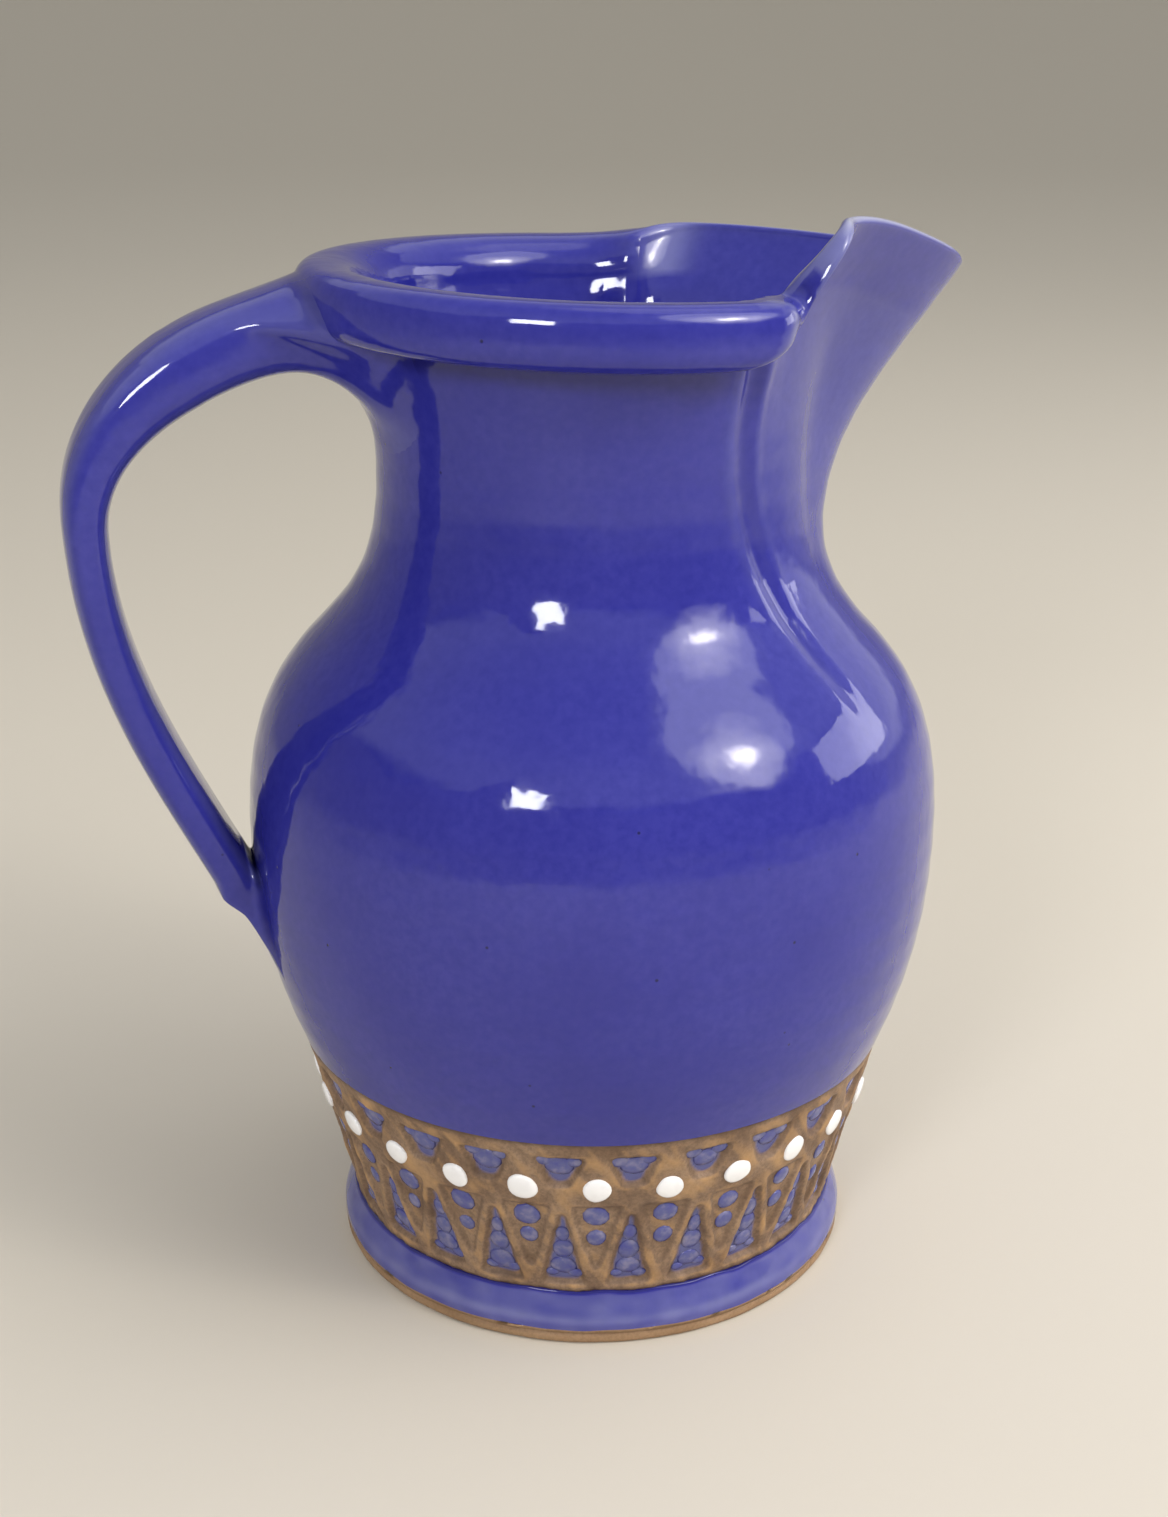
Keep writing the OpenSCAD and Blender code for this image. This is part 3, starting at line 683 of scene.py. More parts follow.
def sheet_point(pot, a, share):
    """Upper part of the beak: up the outside, round the lip and down the inside."""
    lip = pot.lip_z(a)
    edge = sheet_t(pot, a, 0) / 2
    out, back = LIP_SHARES
    if share < out:
        z = mix(lip - pot.w.roll_h, lip - edge, share / out)
        return pot.outer_r(a, z), z
    if share > back:
        z = mix(lip - edge, lip - (pot.w.rim_z - pot.roll_in_z), (share - back) / (1 - back))
        return pot.outer_r(a, z) - sheet_t(pot, a, lip - z), z
    turn = mix(0, math.pi, (share - out) / (back - out))
    middle = pot.outer_r(a, lip - edge) - edge
    return middle + edge * math.cos(turn), lip - edge + edge * math.sin(turn)


def rolled(pot, a, share):
    """How far the section is a roll, 0 on the beak and 1 on the rim; its end is rounded, most of all below."""
    low = (1 - ease(share / 0.46)) ** 1.4
    past = abs(a) - math.degrees(pot.s.angle)
    at = clamp((past + 2.6 - 13 * low) / 9, 0.0, 1.0)
    nose = (1 - (1 - at) ** 2) ** mix(0.6, 1.1, low)
    inside = ease((past + 4) / 15) if a < 0 else ease((past + 8) / 26)
    return mix(nose, inside, ease((share - 0.5) / 0.22))


def skin_point(pot, kind, share, a):
    """Radius and height of the skin at an angle from the tip in degrees."""
    w = pot.w
    if kind.startswith("belly"):
        z = mix(pot.band_end, pot.joint_z, share)
        return pot.outer_r(a, z) if kind == "belly" else pot.wall_r(z) - w.wall, z
    end, shift, lip = rolled(pot, a, 0.1), pot.rim_shift(a), pot.lip_z(a)
    if kind == "neck":
        z = mix(pot.joint_z, mix(lip - w.roll_h, pot.roll_low + shift, end), share)
        return pot.outer_r(a, z), z
    if kind == "neck_in":
        z = mix(pot.joint_z, mix(lip - (w.rim_z - pot.roll_in_z), pot.roll_in_z + shift, end), share)
        return pot.outer_r(a, z) - mix(sheet_t(pot, a, lip - z), w.wall, end), z
    roll = rolled(pot, a, share)
    r, z = roll_point(pot, share)
    z += shift
    if roll >= 1:
        return r, z
    flat_r, flat_z = sheet_point(pot, a, share)
    return mix(flat_r, r, roll), mix(flat_z, z, roll)


def glaze_and_shade_on_skin(pot, kind, share, a, z):
    """Thin glaze on the lip, marks at the roll's ends, and pooled glaze with painted shade under the roll and
    in the seam.

    The ears and the seam's beads are paler, a painted reflection.
    """
    glaze_and_shade = 0.0
    if kind == "roll":
        roll = rolled(pot, a, share)
        # Line of the lip, thin glaze; and in the crease under the roll, pooled glaze that is also painted shade
        glaze_and_shade += (1 - roll) * (1 - ease((abs(a) - 48) / 8)) * 1.15 * bell(share - 0.58, 0.06)
        glaze_and_shade -= roll * 0.75 * bell(share - 0.06, 0.1)
        # Ends of the roll, paler along their edge and darker just past it; and the ears, paler as a painted
        # reflection
        if 0 < roll < 1 and share < 0.6:
            glaze_and_shade += 0.32 * bell(roll - 0.9, 0.08) * ease(share / 0.2) - 0.5 * bell(roll - 0.12, 0.14)
        glaze_and_shade += 0.3 * (1 - roll) * bell(abs(a) - 56, 6) * ease((share - 0.4) / 0.1)
    if kind == "neck":
        # Under the roll, pooled glaze and painted shade; the seam, darker in its groove, pooled glaze and
        # painted shade, and paler on its beads, a painted reflection; and the flanks of the beak, a little
        # paler toward the lip
        glaze_and_shade -= 0.6 * bell(1 - share, 0.05) * rolled(pot, a, 0.1)
        glaze_and_shade += 150 * pot.seam(a, z)
        glaze_and_shade += 0.05 * (1 - ease((abs(a) - 50) / 16)) * ease((z - pot.s.keel_z) / (30 * MM))
    return clamp(glaze_and_shade, -1.0, 1.0)


def middle_row(face, row_of):
    return sum(v[row_of] for v in face.verts) / len(face.verts)


class PITCHER_OT_throw_wall(Operator):
    """Makes the belly, the neck, the rolled rim and the spout."""
    bl_idname = "pitcher.throw_wall"
    bl_label = "Throw the wall"

    def execute(self, context):
        pot = Pot(context.scene)
        skin = bmesh.new()
        row_of, glaze_and_shade = skin.verts.layers.int.new(ROW), marks(skin, GLAZE_THICKNESS_AND_SHADE)
        rows = skin_rows()
        for index, vert in enumerate(chain(skin, [skin_point(pot, *row, 180) for row in rows])):
            vert[row_of] = index
        lathe(skin, TURN_STEPS, TURN_SECTORS)
        for vert in skin.verts:
            kind, share = rows[vert[row_of]]
            a = fine_angle(math.degrees(polar(vert.co)[1]))
            r, z = skin_point(pot, kind, share, a)
            place(vert, r, math.radians(a), z)
            vert[glaze_and_shade] = glaze_and_shade_on_skin(pot, kind, share, a, z)
        outside = next(f for f in skin.faces if all(rows[v[row_of]][0] == "belly" for v in f.verts))
        shade_as_one(skin, outside, Vector((0, 0, outside.calc_center_median().z)))
        half = fine_angle(math.degrees(pot.s.angle)) + 0.02
        neck_row, roll_row = BELLY_ROWS, BELLY_ROWS + NECK_ROWS
        roll_end, neck_end = roll_row + ROLL_ROWS, roll_row + ROLL_ROWS + NECK_ROWS

        def beak(face):
            return abs(math.degrees(polar(face.calc_center_median())[1])) < half

        def between(face, low, high):
            return low < middle_row(face, row_of) < high

        cut_pieces(skin, {
            "belly": (
                lambda f: not between(f, neck_row, neck_end), [(0, len(rows) - 1), (neck_row, neck_end)]),
            "neck": (
                lambda f: not beak(f) and (between(f, neck_row, roll_row) or between(f, roll_end, neck_end)),
                [(neck_row, neck_end), (roll_row, roll_end)]),
            "rim_roll": (lambda f: not beak(f) and between(f, roll_row, roll_end), [(roll_row, roll_end)]),
            "spout": (lambda f: beak(f) and between(f, neck_row, neck_end), [(neck_row, neck_end)]),
        }, cobalt_glaze(context.scene.pitcher_colours))
        return {"FINISHED"}


# Foot and base

FOOT_ROWS, FOOT_STEPS, BASE_STEPS, FOOT_SECTORS = 24, 360, 180, 12
# Painted light on the bare edge: its clay is drawn lighter than the band, as if lit from the floor below
EDGE_PAINTED_LIGHT = -0.14
# Width of the ring that the pot rests on, rounding of the base's lower corner, and how far its bare edge stands
# back; depth of the wear there, and width over which it wears
REST_W, EDGE_ROUND, EDGE_BACK, EDGE_WEAR, EDGE_W = 7 * MM, 1.4 * MM, 0.25 * MM, 0.2 * MM, 3 * MM
# Grain of the wear, swell of the glaze on the foot, and waves of its upper and its lower edge
WEAR_GRAIN, FOOT_SWELL, TOP_WAVE, LOW_WAVE = 9 * MM, 0.35 * MM, 0.9 * MM, 0.5 * MM
# Height of the strip at the foot's lower edge where the glaze was wiped off, and its unevenness
WIPED_H, WIPED_WAVE = 0.75 * MM, 0.35 * MM


def worn_h(turn):
    """Height of the wiped strip there."""
    return WIPED_H + WIPED_WAVE * wobble_round(turn, 0.068, 0, WEAR_GRAIN)


class PITCHER_OT_turn_foot(Operator):
    """Makes the base slab with its bare edge, and the glazed foot ring."""
    bl_idname = "pitcher.turn_foot"
    bl_label = "Turn the foot"

    def execute(self, context):
        pot = Pot(context.scene)
        w = pot.w
        colours = context.scene.pitcher_colours
        glaze, clay = cobalt_glaze(colours), stoneware(colours)
        floor_r = pot.band_low_r - w.wall
        bm = bmesh.new()
        painted_light = marks(bm, CLAY_TONE_AND_SHADE)
        outline = [(0, 0), (pot.foot_r * 0.5, 0), (pot.foot_r - REST_W, 0)]
        outline += [
            (pot.foot_r - EDGE_ROUND + EDGE_ROUND * math.sin(t), EDGE_ROUND - EDGE_ROUND * math.cos(t))
            for t in np.linspace(0, math.pi / 2, 8)]
        outline += [(pot.foot_r - EDGE_BACK, w.edge_h), (floor_r, w.edge_h), (floor_r, w.base_t)]
        chain(bm, outline + [(floor_r * 0.6, w.base_t), (0, w.base_t)])
        lathe(bm, BASE_STEPS, FOOT_SECTORS)
        for vert in bm.verts:
            r, turn = polar(vert.co)
            if r > pot.foot_r - EDGE_W:
                place(vert, r - EDGE_BACK - EDGE_WEAR * wobble(*vert.co, WEAR_GRAIN), turn, vert.co.z)
            # Painted light: the bare clay of the edge is drawn lighter
            vert[painted_light] = EDGE_PAINTED_LIGHT
        bmesh.ops.recalc_face_normals(bm, faces=bm.faces)
        for face in bm.faces:
            face.material_index = int(face.calc_center_median().z > w.base_t - 0.1 * MM)
            face.smooth = abs(face.normal.z) < 0.95
        piece(bm, "base_clay", "base", [clay, glaze])

        bm = bmesh.new()
        glaze_and_shade, painted_light = marks(bm, GLAZE_THICKNESS_AND_SHADE), marks(bm, CLAY_TONE_AND_SHADE)
        outside = [
            (r + FOOT_SWELL * math.sin(math.pi * i / FOOT_ROWS) ** 0.4, z)
            for i, (r, z) in enumerate(sampled(pot.foot, FOOT_ROWS))]
        chain(bm, outside + [(floor_r, pot.band_z), (floor_r, w.edge_h)], closed=True)
        lathe(bm, FOOT_STEPS, FOOT_SECTORS)
        for vert in bm.verts:
            r, turn = polar(vert.co)
            if r < floor_r + MM:
                continue
            share = (vert.co.z - w.edge_h) / w.foot_h
            wave, low, streak = (
                wobble_round(turn, 0.065, z, grain)
                for z, grain in ((0, WEAR_GRAIN), (0.3, 14 * MM), (share * 0.02, 6 * MM)))
            z = vert.co.z + wave * TOP_WAVE * share ** 3 + low * LOW_WAVE * (1 - share) ** 3
            if 0 < share < 1.5 / FOOT_ROWS:
                z = w.edge_h + worn_h(turn)
            place(vert, min(r, pot.foot_r - 0.05 * MM), turn, max(z, w.edge_h - 0.4 * MM))
            # Painted light, which shows on the bare clay of the wiped strip
            vert[painted_light] = EDGE_PAINTED_LIGHT
            vert[glaze_and_shade] = 0.16 + 0.1 * streak + 0.1 * bell(share - 0.35, 0.12) - 0.9 * bell(1 - share, 0.05)
        bmesh.ops.recalc_face_normals(bm, faces=bm.faces)
        smooth_faces(bm)
        for face in bm.faces:
            centre = face.calc_center_median()
            face.material_index = int(centre.z < w.edge_h + 0.75 * worn_h(polar(centre)[1]))
        piece(bm, "foot_ring_glazed", "foot_ring", [glaze, clay])
        return {"FINISHED"}


# Carved band

BAND_STEPS, BAND_ROWS = 30, 100
# Recesses: height shares of the wide and the narrow end, and their width shares of a repeat
UPPER = (0.905, 0.72, 0.7, 0.3)
HANGING = (0.585, 0.165, 0.72, 0.1)
STANDING = (0.05, 0.53, 0.7, 0.1)
# The hanging recesses are cut less deep: their share of the depth
HANGING_DEPTH = 0.75
# Where each kind stands in a repeat, whether glaze ran into it, and its share of the depth
RECESSES = ((UPPER, 0, 1, 1.0), (HANGING, 0.5, 0, HANGING_DEPTH), (STANDING, 0, 1, 1.0))


class Band:
    """The wall of the band unrolled: places on it and the depth of its carving."""

    # Rounding of a recess's corners, sway and nicks of the knife, and length along the band in the noise for
    # each radian of turn
    CORNER, SWAY, NICK, ALONG = 1.6 * MM, 0.45 * MM, 0.3 * MM, 0.07

    def __init__(self, pot):
        self.pot, self.b = pot, pot.b
        self.pitch = math.tau / pot.b.repeats
        self.lean = math.atan2(pot.band_top_r - pot.band_low_r, pot.w.band_h)

    def ends(self, shares):
        """Heights of the wide and the narrow end of a recess."""
        return [mix(self.pot.band_z, self.pot.band_end, share) for share in shares[:2]]

    def width(self, shares, down):
        """Width of a recess at that share of the way from its wide end."""
        wide, narrow = (self.repeat_w(z) * share for z, share in zip(self.ends(shares), shares[2:]))
        return mix(wide, narrow, down)

    def repeat_w(self, z):
        return self.pitch * self.pot.band_r(z)

    def frame(self, turn, z, along, out):
        """Matrix of a place on the band: X along it, Y up it and Z out of it."""
        c, s = math.cos(turn), math.sin(turn)
        radial, side = Vector((c, s, 0)), Vector((-s, c, 0))
        up = radial * math.sin(self.lean) + Vector((0, 0, math.cos(self.lean)))
        normal = radial * math.cos(self.lean) - Vector((0, 0, math.sin(self.lean)))
        made = Matrix((side, up, normal)).transposed().to_4x4()
        made.translation = radial * self.pot.band_r(z) + Vector((0, 0, z)) + side * along + normal * out
        return made

    def inside(self, shares, offset, turn, z):
        """Distance inside a recess, in metres, with the unevenness of the knife, and the recess's number."""
        wide_z, narrow_z = self.ends(shares)
        height = abs(wide_z - narrow_z)
        at = turn / self.pitch - offset
        number = round(at)
        x = (at - number) * self.repeat_w(z) + self.SWAY * wobble(number * 3.1, shares[0] * 9, z, 11 * MM)
        down = (z - wide_z) / (narrow_z - wide_z)
        lean = math.hypot(1, self.width(shares, 0) / 2 / height)
        sides = (self.width(shares, down) / 2 - abs(x)) / lean
        ends = min(down, 1 - down) * height
        corner = max(0.0, 1 - abs(sides - ends) / self.CORNER)
        nick = self.NICK * wobble(turn * self.ALONG, number, z, 3.4 * MM)
        return min(sides, ends) - corner * corner * self.CORNER / 4 + nick, number

    def carving(self, turn, z):
        """Depth of the carving, tone of the clay, and cover of thin glaze.

        The tone is painted light: painted highlights on the ridges and raised planes, painted shade in the
        cuts.
        """
        best, cover, deep = -1.0, 0.0, 1.0
        for shares, offset, washed, full in RECESSES:
            depth, number = self.inside(shares, offset, turn, z)
            if depth > best:
                best, deep = depth, full
                edge = 0.55 * MM + 0.35 * MM * wobble(number * 1.7, z, shares[1], 3 * MM)
                cover = washed * ease((depth - edge) / (0.7 * MM))
        floor = ease((best + 0.5 * MM) / (1.15 * MM))
        along = turn * self.ALONG
        # Planes and strokes of the knife, fine grain, and the raised crest at a recess's edge
        plane = wobble(along, z, 0.5, 5.2 * MM)
        stroke = abs(wobble(along + z * 0.7, z * 0.3, 0.9, 3.6 * MM)) * 2 - 0.6
        relief = (0.3 * plane + 0.22 * stroke) * (1 - 0.7 * floor)
        relief += 0.12 * wobble(along, z * 0.6, 0, 1.9 * MM)
        crest = 0.2 * bell(best + 0.5 * MM, 0.5 * MM)
        # Tone: lighter on raised planes and strokes and just outside a recess, painted highlights; darker on
        # sunk ones, on a recess's floor and at its walls, painted shade
        tone = 0.36 * plane + 0.26 * stroke + 0.1 * floor - 0.1 * bell(best + 0.7 * MM, 0.4 * MM)
        tone += 0.32 * bell(best - 0.1 * MM, 0.45 * MM)
        return floor * deep * self.b.depth + (relief + crest + 0.42) * MM, tone, cover


class PITCHER_OT_carve_band(Operator):
    """Makes the carved band of bare clay."""
    bl_idname = "pitcher.carve_band"
    bl_label = "Carve the band"

    def execute(self, context):
        pot = Pot(context.scene)
        band = Band(pot)
        w = pot.w
        colours = context.scene.pitcher_colours
        bm = bmesh.new()
        shade_and_tone, cover = marks(bm, CLAY_TONE_AND_SHADE), marks(bm, COVER)
        outside = [(pot.band_r(z), z) for z in np.linspace(pot.band_z, pot.band_end, BAND_ROWS)]
        inside = [(pot.band_top_r - w.wall, pot.band_end), (pot.band_low_r - w.wall, pot.band_z)]
        chain(bm, outside + inside, closed=True)
        lathe(bm, BAND_STEPS * pot.b.repeats, pot.b.repeats)
        for vert in bm.verts:
            r, turn = polar(vert.co)
            z = vert.co.z
            if r < pot.band_r(z) - MM:
                continue
            depth, tone, washed = band.carving(turn, z)
            place(vert, r - depth * math.cos(band.lean), turn, z)
            # The carving's painted shade and highlights, and darker along the upper and the lower edge
            rise = (z - pot.band_z) / w.band_h
            vert[shade_and_tone] = clamp(tone + 0.8 * bell(1 - rise, 0.02) + 0.6 * bell(rise, 0.02), -1.0, 1.0)
            vert[cover] = washed
        bmesh.ops.recalc_face_normals(bm, faces=bm.faces)
        smooth_faces(bm)
        for face in bm.faces:
            centre = face.calc_center_median()
            face.material_index = int(polar(centre)[0] < pot.band_r(centre.z) - 4 * MM)
        piece(
            bm, "carved_band_clay", "carved_band", [stoneware(colours), cobalt_glaze(colours)])
        return {"FINISHED"}


# Rise of a dot and of a drop, and how far their middles lie under the face of the band or the recess's floor
DOT_RISE, DOT_SUNK, DROP_RISE, DROP_SUNK = 0.95 * MM, 0.25 * MM, 0.55 * MM, 0.3 * MM


def blob(bm, matrix, width, height, rise, seed, fine=2):
    """Flattened drop, uneven in outline, sunk to its middle in the face under it."""
    made = bmesh.ops.create_icosphere(bm, subdivisions=fine, radius=1.0)["verts"]
    for vert in made:
        x, y, z = vert.co
        uneven = 1 + 0.13 * noise.noise(Vector((x * 0.9, y * 0.9, seed * 3.7)))
        vert.co = (x * uneven * width / 2, y * uneven * height / 2, power(z, 0.75) * rise)
    bmesh.ops.transform(bm, matrix=matrix, verts=made)


class PITCHER_OT_lay_dots(Operator):
    """Lays the white slip dots round the band."""
    bl_idname = "pitcher.lay_dots"
    bl_label = "Lay the dots"

    def execute(self, context):
        pot = Pot(context.scene)
        band = Band(pot)
        bm = bmesh.new()
        for number in range(pot.b.repeats):
            z = pot.b.dot_z + 0.35 * MM * math.sin(number * 1.9)
            width = pot.b.dot_d * (1 + 0.07 * math.sin(number * 2.3))
            height = pot.b.dot_d * (1.02 - 0.06 * math.cos(number * 1.3))
            spot = band.frame((number + 0.5) * band.pitch, z, 0, -DOT_SUNK)
            blob(bm, spot, width, height, DOT_RISE, number, 3)
        smooth_faces(bm)
        piece(bm, "slip_dots_white", "slip_dots", [white_slip(context.scene.pitcher_colours)])
        return {"FINISHED"}


# Drops of each recess: share down it, share across it, width and height in shares of its width there
DROPS = {
    "upper_drops": (UPPER, 0.0, ((0.4, 0, 0.72, 0.6), (0.2, -0.3, 0.4, 0.3), (0.2, 0.3, 0.4, 0.3))),
    "hanging_drops": (HANGING, 0.5, ((0.2, 0, 0.62, 0.6), (0.55, 0, 0.72, 0.8))),
    "standing_drops": (STANDING, 0.0, (
        (0.2, 0, 0.7, 0.62), (0.45, 0, 0.74, 0.9), (0.68, 0, 0.8, 1.2),
        (0.1, -0.28, 0.36, 0.26), (0.1, 0.28, 0.36, 0.26))),
}


class PITCHER_OT_run_drops(Operator):
    """Runs the drops of thin glaze into the carving."""
    bl_idname = "pitcher.run_drops"
    bl_label = "Run the glaze drops"

    def execute(self, context):
        pot = Pot(context.scene)
        band = Band(pot)
        glaze = thin_glaze(context.scene.pitcher_colours)
        for name, (shares, offset, drops) in DROPS.items():
            floor = pot.b.depth * (HANGING_DEPTH if offset else 1.0) + DROP_SUNK
            bm = bmesh.new()
            for number in range(pot.b.repeats):
                for index, (down, across, width, height) in enumerate(drops):
                    seed = number * 7 + index
                    z = mix(*band.ends(shares), down) + 0.3 * MM * math.sin(seed * 2.1)
                    room = band.width(shares, down)
                    grow = 1 + 0.1 * math.sin(seed * 1.7)
                    spot = band.frame((number + offset) * band.pitch, z, room * across, -floor)
                    blob(bm, spot, room * width * grow, room * height * grow, DROP_RISE, seed)
            smooth_faces(bm)
            piece(bm, f"{name}_blue", name, [glaze])
        return {"FINISHED"}


# Handle: strap and roots are cut from one skin

STRAP_SIDES, STRAP_ROWS, ROOT_ROWS = 48, 96, 22
# Shares of the upper and the lower half of its line at which the strap begins and ends
UPPER_SHARE, LOWER_SHARE = 0.34, 0.85
# Height above which the upper root sits on the roll
ROLL_SEAT = 243 * MM
# Rows of a root on the roll, and its distance from the wall below, over which it takes on the wall's shading
BLEND_ROWS, BLEND_GAP = 7, 4 * MM
# The back of the upper root follows the wall inside its thickness, in rings at these shares of its outline
CAP_SHARES = (0.1, 0.6)
# Heights of the middle of each root, and how far the upper one rises above it on the roll
UPPER_MIDDLE, UPPER_RISE, LOWER_MIDDLE = 230 * MM, 24.8 * MM, 103 * MM
# The strap's outer face ends in a ledge: how far its corner and its foot stand out of the wall and above the
# strap's lower end, and the shares of the rows at the two
LEDGE_OUT, LEDGE_RISE, LEDGE_SHARES = (10 * MM, 5.8 * MM), (8.9 * MM, 5 * MM), (0.76, 0.62)
# The wiped tail widens by this toward its tip, leaves it with this pull and reaches the ledge along this way
TAIL_WIDE, TAIL_PULL, TAIL_END = 1.2, 8 * MM, Vector((-2.2, 0, 2.4)) * MM
# Unevenness of the strap and its grain
STRAP_HAND, STRAP_GRAIN = 0.22 * MM, 16 * MM


class Strap:
    """Line and sections of the handle, in the plane of the spout."""

    def __init__(self, pot):
        h = pot.h
        self.h = h
        top, low = -pot.wall_r(h.top_z), -pot.wall_r(h.low_z)
        self.upper = [
            (top, h.top_z), (mix(top, -h.reach, 0.5), h.top_z),
            (-h.reach, mix(h.reach_z, h.top_z, 0.6)), (-h.reach, h.reach_z)]
        self.lower = [
            (-h.reach, h.reach_z), (-h.reach, mix(h.reach_z, h.low_z, 0.38)),
            (mix(low, -h.reach, 0.46), mix(h.low_z, h.reach_z, 0.34)), (low, h.low_z)]

    def section(self, share):
        """Middle, direction of travel, width and thickness at a share of the strap."""
        at = mix(UPPER_SHARE, 1 + LOWER_SHARE, share)
        curve, t = (self.upper, at) if at <= 1 else (self.lower, at - 1)
        (x, z), (dx, dz) = bezier(curve, t), slope_of(curve, t)
        run = Vector((dx, 0, dz)) / math.hypot(dx, dz)
        taper, h = ease((at - UPPER_SHARE) / 0.75), self.h
        return Vector((x, 0, z)), run, mix(h.root_w, h.width, taper), mix(h.root_t, h.thick, taper)

    def ring(self, share):
        """Points of one section, soft at its edges."""
        middle, run, width, thick = self.section(share)
        out = Vector((run.z, 0, -run.x))
        points = []
        for i in range(STRAP_SIDES):
            turn = math.tau * i / STRAP_SIDES
            c, s = power(math.cos(turn), 0.6), power(math.sin(turn), 0.66)
            points.append(middle + out * ((thick / 2 - 0.08 * MM) * s) + Vector((0, width / 2 * c, 0)))
        return points


def seat_r(pot, z, on_roll):
    """Distance from the axis to the outside of the wall, or of the roll, behind the handle."""
    if not on_roll:
        return pot.wall_r(z)
    share = clamp((z - pot.roll_mid - pot.rim_shift(180)) / (pot.w.roll_h / 2), -1.0, 1.0)
    out = (1 - abs(share) ** (2 / pot.ROLL_SOFT)) ** (pot.ROLL_SOFT / 2)
    return mix(pot.roll_mid_r, pot.roll_r, out)


def seat_of(pot, y, z, on_roll=False):
    """Point on the wall behind the handle, just under its surface."""
    r = seat_r(pot, z, on_roll) - 0.3 * MM
    return Vector((-math.sqrt(max(r * r - y * y, 0)), y, z))


def seat_normal(pot, co):
    """Direction that the wall faces there, so that a root can shade into it."""
    step = 0.4 * MM
    a = math.degrees(polar(co)[1])
    low, high = (
        seat_r(pot, z, True) if co.z > ROLL_SEAT else pot.outer_r(a, z) for z in (co.z - step, co.z + step))
    out = Vector((co.x, co.y, 0)).normalized()
    return Vector((out.x, out.y, -(high - low) / (2 * step))).normalized()


def pressed_in(pot, co, share):
    """Point inside the wall behind a point of the upper root's outline, drawn to its middle."""
    y, z = co.y * share, min(mix(UPPER_MIDDLE, co.z, share), pot.roll_low)
    r = pot.wall_r(z) - pot.w.wall * 0.45
    return Vector((-math.sqrt(r * r - y * y), y, z))


def root_lines(pot, strap, upper):
    """Rows from the wall to an end ring of the strap, on lines tangent to both."""
    h = pot.h
    share = 0.0 if upper else 1.0
    run = strap.section(share)[1] * (1 if upper else -1)
    lines = []
    for i, end in enumerate(strap.ring(share)):
        turn = math.tau * i / STRAP_SIDES
        c, s = math.cos(turn), math.sin(turn)
        outer = max(0, s)
        if upper:
            middle = UPPER_MIDDLE
            rise = UPPER_RISE * power(s, 0.8) if s > 0 else (middle - h.upper_low_z) * power(s, 0.9)
            y = h.upper_w * 0.58 * (1 - 0.3 * outer ** 1.2) * power(c, mix(0.85, 0.6, ease(2 * s)))
            top = ease((s + 0.35) / 1.1)
            pull_wall, pull_strap = mix(25, 7, top) * MM, mix(22, 8, top) * MM
            away, turned = Vector((-1, 0, -0.4)), ease(1.5 * s)
        else:
            middle = LOWER_MIDDLE
            reach = mix(h.tail_z, h.low_z, 0.6) if s > 0 else h.lower_top_z
            rise = (reach - middle) * abs(s) ** 0.9
            y = h.lower_w / 2 * power(c, 0.85) * (1 - 0.2 * outer ** 1.5)
            pull_wall, pull_strap = mix(6, 3, outer) * MM, mix(5, 13, outer) * MM
            away, turned = Vector((-1, 0, 0.6)), 0.8 * ease(s)
        z = middle + rise
        on_roll = upper and z > ROLL_SEAT
        start = seat_of(pot, y, z, on_roll)
        toward = Vector((0, -y, middle - z))
        step = toward.normalized() * 2 * MM if toward.length > 0 else Vector()
        along = (seat_of(pot, y + step.y, z + step.z, on_roll) - start).normalized()
        along = along.lerp(away.normalized(), turned).normalized()
        line = (start, along * pull_wall, end, run * pull_strap)
        points = [hermite(line, row / ROOT_ROWS) for row in range(ROOT_ROWS)]
        if not upper and s > 0:
            points = [
                p.lerp(ledge_point(pot, end, row / ROOT_ROWS), ease(1.6 * s)) for row, p in enumerate(points)]
        lines.append(points)
    return list(zip(*lines))


def ledge_point(pot, end, t):
    """Point from the tip of the wiped tail, up it, over the ledge and on to the strap."""
    corner, foot = (
        seat_of(pot, end.y, pot.h.low_z + rise) - Vector((out, 0, 0))
        for out, rise in zip(LEDGE_OUT, LEDGE_RISE))
    at_corner, at_foot = LEDGE_SHARES
    if t > at_corner:
        return corner.lerp(end, (t - at_corner) / (1 - at_corner))
    if t > at_foot:
        return foot.lerp(corner, (t - at_foot) / (at_corner - at_foot))
    tip, above = (seat_of(pot, end.y * TAIL_WIDE, z) for z in (pot.h.tail_z, pot.h.tail_z + MM))
    return hermite((tip, (above - tip).normalized() * TAIL_PULL, foot, TAIL_END), t / at_foot)


